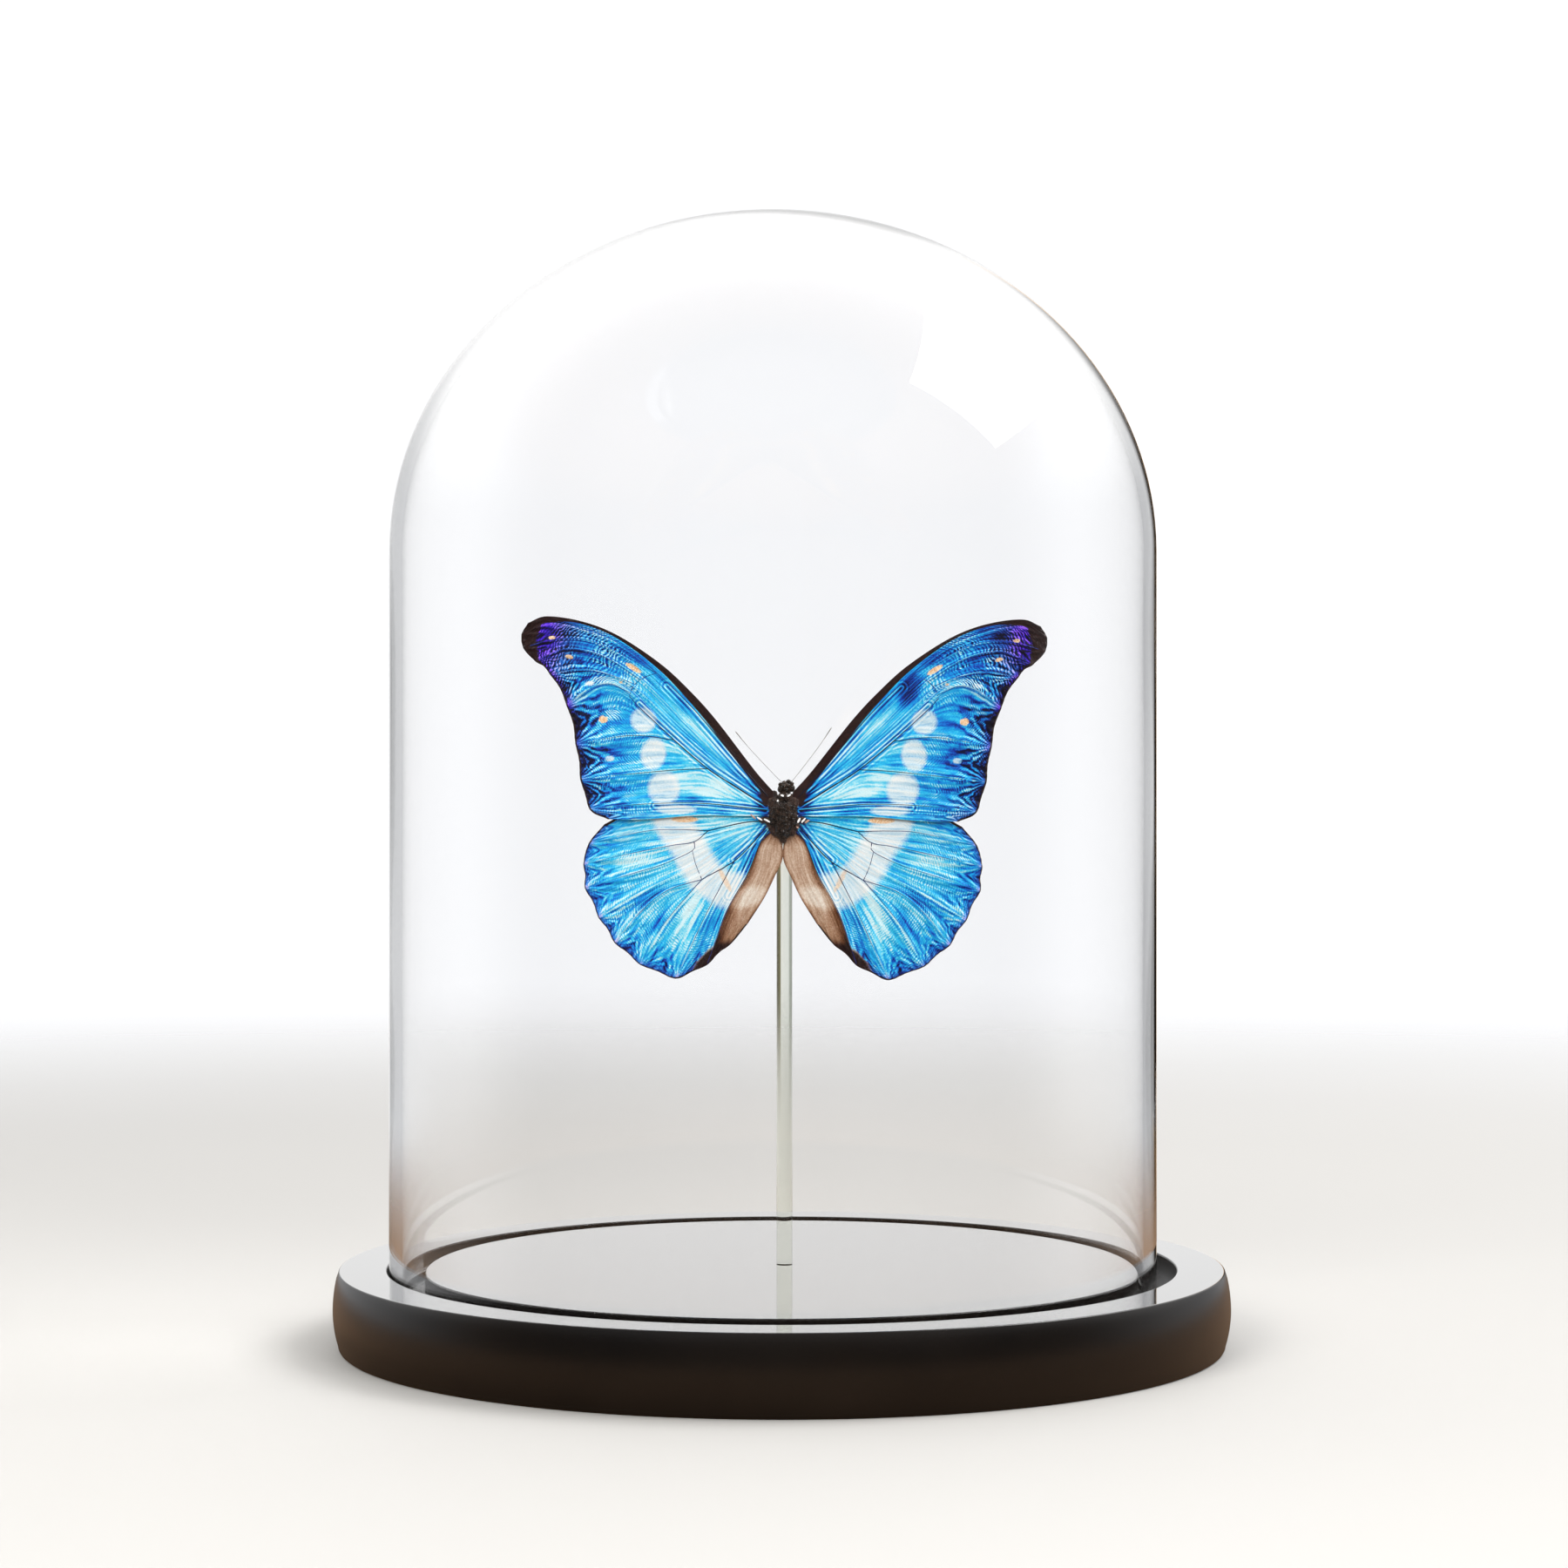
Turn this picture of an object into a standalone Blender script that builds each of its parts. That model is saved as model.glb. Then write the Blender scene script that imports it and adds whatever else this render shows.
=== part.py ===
"""A blue butterfly on a clear rod under a glass dome, on a turned black base.

Metres, +Z up. The origin is at the centre of the base's underside. The insect's back faces -Y,
its head points up, and its left wings are on the -X side.
"""

import math

import bmesh
import bpy
from mathutils import Matrix, Vector

MM = 0.001

# Base: a turned wooden disc with a ring groove for the dome.
BASE_HEIGHT = 18.0 * MM
RIM_RADIUS = 103.8 * MM
BELLY_RADIUS = 105.1 * MM
BELLY_DROP = 9.0 * MM
FOOT_RADIUS = 102.7 * MM
RIM_EDGE = 0.5 * MM
GROOVE_OUTER = 92.5 * MM
GROOVE_INNER = 83.7 * MM
GROOVE_DEPTH = 5.0 * MM
BASE_STEPS = 72

# Dome: blown glass, a straight wall under an elliptical crown, standing in the groove.
GLASS_RADIUS = 90.0 * MM
GLASS_WALL = 3.0 * MM
CROWN_HEIGHT = 80.0 * MM
SHOULDER_Z = BASE_HEIGHT + 167.5 * MM
DOME_SHIFT_X = -2.1 * MM
DOME_STEPS = 72
CROWN_POINTS = 11

# Rod: clear acrylic, set in a drilled hole.
ROD_RADIUS = 1.85 * MM
ROD_X = 0.6 * MM
ROD_TOP_Z = 126.5 * MM
ROD_SIDES = 24
ROD_CHAMFER = 0.3 * MM
HOLE_DEPTH = 6.0 * MM

# Touching pieces keep this gap.
GAP = 0.3 * MM

# Insect: all its places are measured from the middle of the thorax.
INSECT = Vector((0.3 * MM, -5.5 * MM, 123.65 * MM))
THORAX_HALF = Vector((3.0 * MM, 3.1 * MM, 5.2 * MM))
THORAX_DROP = 0.4 * MM
HEAD_HALF = Vector((1.75 * MM, 1.8 * MM, 1.7 * MM))
HEAD_PLACE = Vector((0.7 * MM, 0.0, 6.9 * MM))
EYE_HALF = Vector((0.95 * MM, 1.15 * MM, 1.25 * MM))
EYE_SPREAD = 1.35 * MM
WING_THICKNESS = 0.5 * MM
FOREWING_Y = -1.1 * MM
HINDWING_Y = -0.2 * MM
ANTENNA_RADIUS = 0.15 * MM
ANTENNA_CLUB = 1.8

# Outlines of the right wings in mm: X away from the body, Y towards the head.
# Each pair of lists is the smooth edge and then the vein ends that the scalloped margin joins.
FOREWING_EDGE = [
    (3.5, 0.3),
    (3.3, 3.2),
    (3.4, 5.6),
    (6.8, 10.8),
    (15.7, 22.2),
    (21.7, 28.8),
    (28.8, 35.3),
    (38.7, 41.8),
    (47.1, 45.1),
    (55.6, 46.3),
    (60.0, 44.7),
    (61.6, 41.4),
    (60.9, 38.5),
]
FOREWING_TEETH = [
    (58.2, 35.7),
    (54.8, 32.7),
    (50.8, 25.3),
    (48.7, 16.5),
    (47.5, 8.2),
    (45.3, 1.3),
]
FOREWING_BACK = [(41.0, -1.0), (33.0, -1.0), (20.0, 0.0), (9.0, 0.0)]
FOREWING_NOTCH = 0.3

HINDWING_EDGE = [
    (3.5, -0.6),
    (9.0, 3.2),
    (22.0, 3.6),
    (34.0, 1.8),
    (41.9, -2.2),
    (45.2, -6.3),
]
HINDWING_TEETH = [
    (46.7, -11.5),
    (46.3, -17.2),
    (43.1, -24.0),
    (39.2, -30.0),
    (33.2, -35.0),
    (24.8, -38.2),
    (17.6, -35.0),
    (12.0, -30.0),
]
HINDWING_BACK = [
    (8.0, -25.1),
    (4.3, -19.2),
    (2.0, -14.2),
    (0.4, -10.2),
    (0.6, -7.9),
    (1.8, -5.6),
    (3.0, -3.6),
]
HINDWING_NOTCH = 0.5
CURVE_STEPS = 4
MARGIN_STEPS = 6

# How far each wing is turned up about its base, in degrees: no insect is set quite evenly.
SPREAD_LEFT = 0.45
SPREAD_RIGHT = -0.35

# Antennae in mm from the middle of the thorax: base, two points along, tip.
ANTENNA_LEFT = [(-1.35, -0.3, 8.75), (-4.4, -0.9, 12.3), (-7.9, -1.4, 16.2), (-11.2, -1.7, 19.9)]
ANTENNA_RIGHT = [(2.75, -0.3, 8.75), (5.5, -0.9, 12.4), (8.6, -1.4, 16.7), (11.3, -1.7, 20.8)]
ANTENNA_STEPS = 4


def clear_scene():
    """Empties the scene of everything it starts with."""
    for thing in list(bpy.data.objects):
        bpy.data.objects.remove(thing)


def new_collection(name):
    """A collection linked to the scene."""
    group = bpy.data.collections.new(name)
    bpy.context.scene.collection.children.link(group)
    return group


def material(name, colour, roughness, metallic=0.0, transmission=0.0, ior=1.5):
    """A Principled material."""
    made = bpy.data.materials.new(name)
    made.use_nodes = True
    shader = made.node_tree.nodes["Principled BSDF"]
    shader.inputs["Base Color"].default_value = (*colour, 1.0)
    shader.inputs["Roughness"].default_value = roughness
    shader.inputs["Metallic"].default_value = metallic
    shader.inputs["Transmission Weight"].default_value = transmission
    shader.inputs["IOR"].default_value = ior
    return made


def place(name, data, group, finish, at=(0.0, 0.0, 0.0), parent=None):
    """An object with its finish, in its collection, at its place."""
    thing = bpy.data.objects.new(name, data)
    group.objects.link(thing)
    thing.location = at
    thing.parent = parent
    if finish:
        data.materials.append(finish)
    return thing


def smooth_shaded(mesh, sharp_degrees=35.0):
    """Smooth shading, with real edges kept sharp."""
    mesh.shade_smooth()
    mesh.set_sharp_from_angle(angle=math.radians(sharp_degrees))


def turned(name, profile, steps, group, finish, at=(0.0, 0.0, 0.0)):
    """A turned solid: the profile runs down its outer side and is spun about Z."""
    mesh = bpy.data.meshes.new(name)
    points = [(radius, 0.0, height) for radius, height in profile]
    mesh.from_pydata(points, [(i, i + 1) for i in range(len(points) - 1)], [])
    thing = place(name, mesh, group, finish, at)
    spin = thing.modifiers.new("Turning", "SCREW")
    spin.axis = "Z"
    spin.steps = steps
    spin.render_steps = steps
    spin.use_merge_vertices = True
    spin.merge_threshold = 0.00001
    spin.use_smooth_shade = True
    return thing


def arc(centre, half_width, half_height, start, end, count):
    """Points on an ellipse from one angle to another, in degrees, both ends included."""
    points = []
    for i in range(count):
        angle = math.radians(start + (end - start) * i / (count - 1))
        points.append(
            (
                centre[0] + half_width * math.cos(angle),
                centre[1] + half_height * math.sin(angle),
            )
        )
    return points


def make_base(group, cutters, finish):
    """The turned base, with its groove, its bellied side and the rod's hole."""
    groove_floor = BASE_HEIGHT - GROOVE_DEPTH
    profile = [(0.0, BASE_HEIGHT)]
    profile += arc((GROOVE_INNER - RIM_EDGE, BASE_HEIGHT - RIM_EDGE), RIM_EDGE, RIM_EDGE, 90, 0, 3)
    profile += [(GROOVE_INNER, groove_floor), (GROOVE_OUTER, groove_floor)]
    profile += arc((GROOVE_OUTER + RIM_EDGE, BASE_HEIGHT - RIM_EDGE), RIM_EDGE, RIM_EDGE, 180, 90, 3)
    profile += arc((RIM_RADIUS - RIM_EDGE, BASE_HEIGHT - RIM_EDGE), RIM_EDGE, RIM_EDGE, 90, 25, 3)
    belly_z = BASE_HEIGHT - BELLY_DROP
    for height, radius in ((belly_z + 5.0 * MM, 0.70), (belly_z, 1.0)):
        profile.append((RIM_RADIUS + (BELLY_RADIUS - RIM_RADIUS) * radius, height))
    profile.append((BELLY_RADIUS - 0.5 * MM, belly_z - 5.0 * MM))
    profile += [(FOOT_RADIUS + 0.6 * MM, 1.0 * MM), (FOOT_RADIUS, 0.0), (0.0, 0.0)]
    base = turned("base", profile, BASE_STEPS, group, finish)
    drill_mesh = bpy.data.meshes.new("rod_hole_drill")
    shape = bmesh.new()
    bmesh.ops.create_cone(
        shape,
        cap_ends=True,
        segments=ROD_SIDES,
        radius1=ROD_RADIUS + GAP,
        radius2=ROD_RADIUS + GAP,
        depth=2 * HOLE_DEPTH,
    )
    shape.to_mesh(drill_mesh)
    shape.free()
    drill = place("rod_hole_drill", drill_mesh, cutters, None, (ROD_X, 0.0, BASE_HEIGHT))
    drill.hide_render = True
    drill.display_type = "WIRE"
    cut = base.modifiers.new("Rod hole", "BOOLEAN")
    cut.operation = "DIFFERENCE"
    cut.solver = "EXACT"
    cut.object = drill
    return base


def make_dome(group, finish):
    """The glass dome: crown and wall outside, a fire-rounded lip, wall and crown inside."""
    lip = GLASS_WALL / 2
    foot_z = BASE_HEIGHT - GROOVE_DEPTH + GAP
    outer = arc((0.0, SHOULDER_Z), GLASS_RADIUS, CROWN_HEIGHT, 90, 0, CROWN_POINTS)
    rim = arc((GLASS_RADIUS - lip, foot_z + lip), lip, lip, 0, -180, 5)
    inner = arc(
        (0.0, SHOULDER_Z), GLASS_RADIUS - GLASS_WALL, CROWN_HEIGHT - GLASS_WALL, 0, 90, CROWN_POINTS
    )
    profile = outer + rim + inner
    profile[0] = (0.0, profile[0][1])
    profile[-1] = (0.0, profile[-1][1])
    return turned("glass_dome", profile, DOME_STEPS, group, finish, (DOME_SHIFT_X, 0.0, 0.0))


def make_rod(group, finish):
    """The clear rod, with both ends chamfered."""
    foot_z = BASE_HEIGHT - HOLE_DEPTH + GAP
    mesh = bpy.data.meshes.new("rod")
    shape = bmesh.new()
    bmesh.ops.create_cone(
        shape,
        cap_ends=True,
        segments=ROD_SIDES,
        radius1=ROD_RADIUS,
        radius2=ROD_RADIUS,
        depth=ROD_TOP_Z - foot_z,
    )
    shape.to_mesh(mesh)
    shape.free()
    smooth_shaded(mesh)
    rod = place("rod", mesh, group, finish, (ROD_X, 0.0, (ROD_TOP_Z + foot_z) / 2))
    edge = rod.modifiers.new("Chamfer", "BEVEL")
    edge.width = ROD_CHAMFER
    edge.segments = 1
    return rod


def ellipsoid(name, half, segments, rings):
    """A mesh of an ellipsoid with the given half-sizes."""
    mesh = bpy.data.meshes.new(name)
    shape = bmesh.new()
    size = Matrix.Diagonal((*half, 1.0))
    bmesh.ops.create_uvsphere(shape, u_segments=segments, v_segments=rings, radius=1.0, matrix=size)
    shape.to_mesh(mesh)
    shape.free()
    smooth_shaded(mesh, 80.0)
    return mesh


def make_thorax(group, finish, insect):
    """The thorax: a plump oval, longest along the body."""
    mesh = ellipsoid("thorax", THORAX_HALF, 20, 14)
    return place("thorax", mesh, group, finish, (0.0, 0.0, -THORAX_DROP), insect)


def make_head(group, cutters, finish, insect):
    """The head, one solid with its two bulging eyes."""
    mesh = ellipsoid("head", HEAD_HALF, 16, 10)
    head = place("head", mesh, group, finish, HEAD_PLACE, insect)
    for side, label in ((-1, "left"), (1, "right")):
        eye_mesh = ellipsoid(f"eye_{label}_blank", EYE_HALF, 12, 8)
        at = HEAD_PLACE + Vector((side * EYE_SPREAD, 0.1 * MM, 0.0))
        eye = place(f"eye_{label}_blank", eye_mesh, cutters, None, at, insect)
        eye.hide_render = True
        eye.display_type = "WIRE"
        join = head.modifiers.new(f"Eye {label}", "BOOLEAN")
        join.operation = "UNION"
        join.solver = "EXACT"
        join.object = eye
    return head


def curve_through(points, steps):
    """A smooth run of points through the given ones, up to but not including the last."""
    made = []
    last = len(points) - 1
    for i in range(last):
        before = points[max(i - 1, 0)]
        start, end = points[i], points[i + 1]
        after = points[min(i + 2, last)]
        for k in range(steps):
            t = k / steps
            made.append(
                tuple(
                    0.5
                    * (
                        2 * b
                        + (c - a) * t
                        + (2 * a - 5 * b + 4 * c - d) * t**2
                        + (3 * b - a - 3 * c + d) * t**3
                    )
                    for a, b, c, d in zip(before, start, end, after)
                )
            )
    return made


def wing_outline(edge, teeth, back, notch):
    """The closed outline of a right wing: its margin dips by notch between vein ends."""
    anchor = edge + teeth + back
    margin_start = len(edge) - 1
    margin_end = margin_start + len(teeth)
    made = []
    loop = [anchor[-1]] + anchor + [anchor[0], anchor[1]]
    for i in range(1, len(anchor) + 1):
        is_margin = margin_start < i - 1 < margin_end
        steps = MARGIN_STEPS if is_margin else CURVE_STEPS
        run = curve_through(loop[i - 1 : i + 3], steps)[steps : 2 * steps]
        start, end = Vector(loop[i]), Vector(loop[i + 1])
        inward = Vector((-(end - start).y, (end - start).x)).normalized()
        for k, point in enumerate(run):
            depth = notch * math.sin(math.pi * k / steps) ** 2 if is_margin else 0.0
            made.append(Vector(point) - inward * depth)
    return made


def make_wing(name, outline, side, at_y, group, finish, insect):
    """A wing: its flat outline, as thick as a card, turned a little about its base."""
    curve = bpy.data.curves.new(name, "CURVE")
    curve.dimensions = "2D"
    curve.fill_mode = "BOTH"
    curve.extrude = WING_THICKNESS / 2
    spline = curve.splines.new("POLY")
    spline.points.add(len(outline) - 1)
    for point, (x, y) in zip(spline.points, outline):
        point.co = (side * x * MM, y * MM, 0.0, 1.0)
    spline.use_cyclic_u = True
    wing = place(name, curve, group, finish, (0.0, at_y, 0.0), insect)
    spread = SPREAD_LEFT if side < 0 else SPREAD_RIGHT
    wing.rotation_euler = (math.radians(90.0), -side * math.radians(spread), 0.0)
    return wing


def make_antenna(name, route, group, finish, insect):
    """An antenna: a fine stalk that thickens into a slender club."""
    points = curve_through(route, ANTENNA_STEPS) + [route[-1]]
    curve = bpy.data.curves.new(name, "CURVE")
    curve.dimensions = "3D"
    curve.bevel_depth = ANTENNA_RADIUS
    curve.bevel_resolution = 1
    curve.use_fill_caps = True
    spline = curve.splines.new("POLY")
    spline.points.add(len(points) - 1)
    for i, (point, at) in enumerate(zip(spline.points, points)):
        point.co = (*(value * MM for value in at), 1.0)
        along = i / (len(points) - 1)
        point.radius = 1.0 + (ANTENNA_CLUB - 1.0) * max(0.0, along - 0.7) / 0.3
    return place(name, curve, group, finish, (0.0, 0.0, 0.0), insect)


def build():
    """Makes the whole object."""
    clear_scene()
    group = new_collection("insect_in_glass_dome")
    cutters = new_collection("cutters")
    lacquer = material("black_lacquer", (0.012, 0.010, 0.009), 0.32)
    glass = material("clear_glass", (1.0, 1.0, 1.0), 0.0, transmission=1.0, ior=1.5)
    acrylic = material("clear_acrylic", (1.0, 1.0, 1.0), 0.02, transmission=1.0, ior=1.49)
    body = material("black_body", (0.015, 0.012, 0.011), 0.6)
    eyes = material("black_head", (0.012, 0.010, 0.010), 0.4)
    blue_fore = material("blue_forewing", (0.02, 0.32, 0.78), 0.4, metallic=0.5)
    blue_hind = material("blue_hindwing", (0.06, 0.42, 0.80), 0.4, metallic=0.5)
    brown = material("dark_antenna", (0.03, 0.022, 0.018), 0.6)

    make_base(group, cutters, lacquer)
    make_dome(group, glass)
    make_rod(group, acrylic)

    insect = bpy.data.objects.new("insect", None)
    group.objects.link(insect)
    insect.location = INSECT
    make_thorax(group, body, insect)
    make_head(group, cutters, eyes, insect)
    forewing = wing_outline(FOREWING_EDGE, FOREWING_TEETH, FOREWING_BACK, FOREWING_NOTCH)
    hindwing = wing_outline(HINDWING_EDGE, HINDWING_TEETH, HINDWING_BACK, HINDWING_NOTCH)
    for side, label in ((-1, "left"), (1, "right")):
        make_wing(f"forewing_{label}", forewing, side, FOREWING_Y, group, blue_fore, insect)
        make_wing(f"hindwing_{label}", hindwing, side, HINDWING_Y, group, blue_hind, insect)
    make_antenna("antenna_left", ANTENNA_LEFT, group, brown, insect)
    make_antenna("antenna_right", ANTENNA_RIGHT, group, brown, insect)


build()
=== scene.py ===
import math

import bmesh
import bpy
import numpy as np
from mathutils import Matrix, Vector, noise
from mathutils.bvhtree import BVHTree

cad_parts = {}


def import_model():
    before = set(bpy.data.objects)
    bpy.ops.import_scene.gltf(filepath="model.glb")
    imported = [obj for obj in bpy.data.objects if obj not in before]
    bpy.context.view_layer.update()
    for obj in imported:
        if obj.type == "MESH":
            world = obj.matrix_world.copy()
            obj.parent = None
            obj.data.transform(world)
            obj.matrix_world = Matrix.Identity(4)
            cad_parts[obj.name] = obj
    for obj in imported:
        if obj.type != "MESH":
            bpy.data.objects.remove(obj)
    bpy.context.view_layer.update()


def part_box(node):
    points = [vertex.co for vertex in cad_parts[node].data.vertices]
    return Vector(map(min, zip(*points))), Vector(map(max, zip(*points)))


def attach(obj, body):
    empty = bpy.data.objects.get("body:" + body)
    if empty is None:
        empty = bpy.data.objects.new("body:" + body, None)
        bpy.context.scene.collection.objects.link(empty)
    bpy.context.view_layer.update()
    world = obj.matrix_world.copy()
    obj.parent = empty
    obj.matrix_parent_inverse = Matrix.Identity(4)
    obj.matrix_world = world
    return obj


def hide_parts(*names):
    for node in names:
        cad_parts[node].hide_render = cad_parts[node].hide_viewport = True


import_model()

MM = 0.001
TURN = 2 * math.pi


# ---------------------------------------------------------------- places, from the frame

BASE_LOW, BASE_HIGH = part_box("base")
DOME_LOW, DOME_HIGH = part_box("glass_dome")
ROD_LOW, ROD_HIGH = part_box("rod")
THORAX_LOW, THORAX_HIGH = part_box("thorax")
HEAD_LOW, HEAD_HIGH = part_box("head")
BASE_TOP = BASE_HIGH.z
DOME_RADIUS = (DOME_HIGH.x - DOME_LOW.x) / 2
DOME_X = (DOME_HIGH.x + DOME_LOW.x) / 2
ROD_X = (ROD_HIGH.x + ROD_LOW.x) / 2
ROD_RADIUS = (ROD_HIGH.x - ROD_LOW.x) / 2
THORAX_MIDDLE = (THORAX_LOW + THORAX_HIGH) / 2
HEAD_MIDDLE = (HEAD_LOW + HEAD_HIGH) / 2
# The wings are drawn about this point, a little above the middle of the thorax.
INSECT = THORAX_MIDDLE + Vector((0.0, 0.0, 0.4 * MM))


# ---------------------------------------------------------------- node materials

# Settings that many nodes share.
COLOURS = {"data_type": "RGBA"}
EASED = {"interpolation_type": "SMOOTHSTEP"}
TIMES = {"operation": "MULTIPLY"}
TIMES_PLUS = {"operation": "MULTIPLY_ADD"}


def linear(colour):
    """The linear colour of an sRGB hex value."""
    parts = [int(colour[i : i + 2], 16) / 255 for i in (1, 3, 5)]
    return (*(((c + 0.055) / 1.055) ** 2.4 if c > 0.04045 else c / 12.92 for c in parts), 1.0)


def add(tree, kind, inputs=(), output=0, stops=None, **settings):
    """Adds a shader node with its settings, links and values, and returns one of its outputs.

    A list of inputs fills the sockets in order; a dict names them.
    """
    made = tree.nodes.new("ShaderNode" + kind)
    for name, value in settings.items():
        setattr(made, name, value)
    if stops:
        ramp = made.color_ramp
        while len(ramp.elements) < len(stops):
            ramp.elements.new(0.5)
        for element, (place, colour) in zip(ramp.elements, stops):
            element.position = place
            element.color = linear(colour)
    ready = [s for s in made.inputs if s.enabled]
    for name, value in inputs.items() if isinstance(inputs, dict) else enumerate(inputs):
        socket = ready[name] if isinstance(name, int) else next(s for s in ready if s.name == name)
        if isinstance(value, bpy.types.NodeSocket):
            tree.links.new(value, socket)
        else:
            socket.default_value = value
    return [s for s in made.outputs if s.enabled][output] if made.outputs else made


def new_material(name, **values):
    """A Principled material with these numbers on its shader; returns it with its tree."""
    made = bpy.data.materials.new(name)
    made.use_nodes = True
    shader = made.node_tree.nodes["Principled BSDF"]
    for key, value in values.items():
        shader.inputs[key.replace("_", " ")].default_value = value
    return made, made.node_tree


def wire(tree, **outputs):
    """Links node outputs to the shader's sockets of these names."""
    for key, output in outputs.items():
        tree.links.new(output, tree.nodes["Principled BSDF"].inputs[key.replace("_", " ")])


def millimetres(tree):
    """Object coordinates in millimetres."""
    place = add(tree, "TexCoord", output=3)
    return add(tree, "VectorMath", {0: place, "Scale": 1 / MM}, operation="SCALE")


def black_lacquer():
    """Satin black nitrocellulose lacquer sprayed on turned wood and rubbed back.

    The eye sees a smooth deep black with a faint warm cast and a soft sheen, and a broad pale
    mirror of the room where the flat top is seen at a low angle.
    """
    made, tree = new_material("satin_black_lacquer", IOR=1.5, Coat_IOR=1.7, Coat_Roughness=0.06)
    place = millimetres(tree)
    peel = add(tree, "TexNoise", {"Vector": place, "Scale": 0.45, "Detail": 3.0})
    cloud = add(tree, "TexNoise", {"Vector": place, "Scale": 0.035, "Detail": 2.0})
    flat = add(tree, "VectorMath", [place, (1.0, 1.0, 0.0)], **TIMES)
    radius = add(tree, "VectorMath", [flat], operation="LENGTH")
    # Rubbing rings are about 0.2 mm apart; drawn at 0.9 mm so that they show.
    rings = add(tree, "TexNoise", {"W": radius, "Scale": 1.1, "Detail": 2.0}, noise_dimensions="1D")
    colour = add(tree, "ValToRGB", [cloud], stops=[(0.3, "#0A0807"), (0.7, "#120E0B")])
    wire(tree, Base_Color=colour)
    facing = add(tree, "SeparateXYZ", [add(tree, "NewGeometry", output=1)], output=2)
    polish = add(tree, "MapRange", [facing, 0.85, 0.98])
    wire(tree, Coat_Weight=polish)
    satin = add(tree, "MapRange", [rings, 0.0, 1.0, 0.25, 0.28])
    rubbed = add(tree, "MapRange", [rings, 0.0, 1.0, 0.07, 0.09])
    rough = add(tree, "Mix", [polish, satin, rubbed])
    wire(tree, Roughness=rough)
    normal = add(tree, "Bump", {"Strength": 0.012, "Distance": 0.05 * MM, "Height": peel})
    wire(tree, Normal=normal)
    return made


def dome_glass():
    """Blown soda-lime glass, fire-polished.

    It is colourless with sharp reflections; blowing leaves a very slow waviness in the wall.
    """
    clear = linear("#FFFFFF")
    made, tree = new_material(
        "blown_clear_glass", Base_Color=clear, Transmission_Weight=1.0, Roughness=0.0, IOR=1.52,
    )
    wave = add(tree, "TexNoise", {"Vector": millimetres(tree), "Scale": 0.02, "Detail": 0.0})
    normal = add(tree, "Bump", {"Strength": 0.15, "Distance": 1.5 * MM, "Height": wave})
    wire(tree, Normal=normal)
    return made


def rod_acrylic():
    """Extruded clear acrylic rod, as drawn.

    Water-clear with a breath of the resin's own tone. Faint lengthwise draw lines streak its
    reflections.
    """
    resin = linear("#F6F8F0")
    made, tree = new_material(
        "clear_acrylic", Base_Color=resin, Transmission_Weight=1.0, Roughness=0.01, IOR=1.49,
    )
    stretched = add(tree, "Mapping", {"Vector": millimetres(tree), "Scale": (4.0, 4.0, 0.05)})
    lines = add(tree, "TexNoise", {"Vector": stretched, "Scale": 1.0, "Detail": 1.0})
    normal = add(tree, "Bump", {"Strength": 0.06, "Distance": 0.05 * MM, "Height": lines})
    wire(tree, Normal=normal)
    return made


def body_cuticle(name, dark, light, roughness, pit_mm):
    """Dry insect cuticle: hard, near black, pitted and a little greasy in its shine."""
    made, tree = new_material(name, IOR=1.56)
    place = millimetres(tree)
    patch = add(tree, "TexNoise", {"Vector": place, "Scale": 0.9, "Detail": 4.0})
    colour = add(tree, "ValToRGB", [patch], stops=[(0.35, dark), (0.72, light)])
    wire(tree, Base_Color=colour)
    pits = add(tree, "TexVoronoi", {"Vector": place, "Scale": 1 / pit_mm})
    shine = add(tree, "MapRange", [pits, 0.0, 1.0, roughness, roughness + 0.25])
    wire(tree, Roughness=shine)
    normal = add(tree, "Bump", {"Strength": 0.7, "Distance": pit_mm * 0.3 * MM, "Height": pits})
    wire(tree, Normal=normal)
    return made


def body_hair(name, dark, light, roughness=0.45):
    """Hair-like scales: each strand takes its own shade between two browns."""
    made, tree = new_material(name, Roughness=roughness, IOR=1.55, Sheen_Weight=0.1)
    shade = add(tree, "Attribute", output=2, attribute_name="shade")
    colour = add(tree, "ValToRGB", [shade], stops=[(0.0, dark), (1.0, light)])
    wire(tree, Base_Color=colour)
    return made


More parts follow.
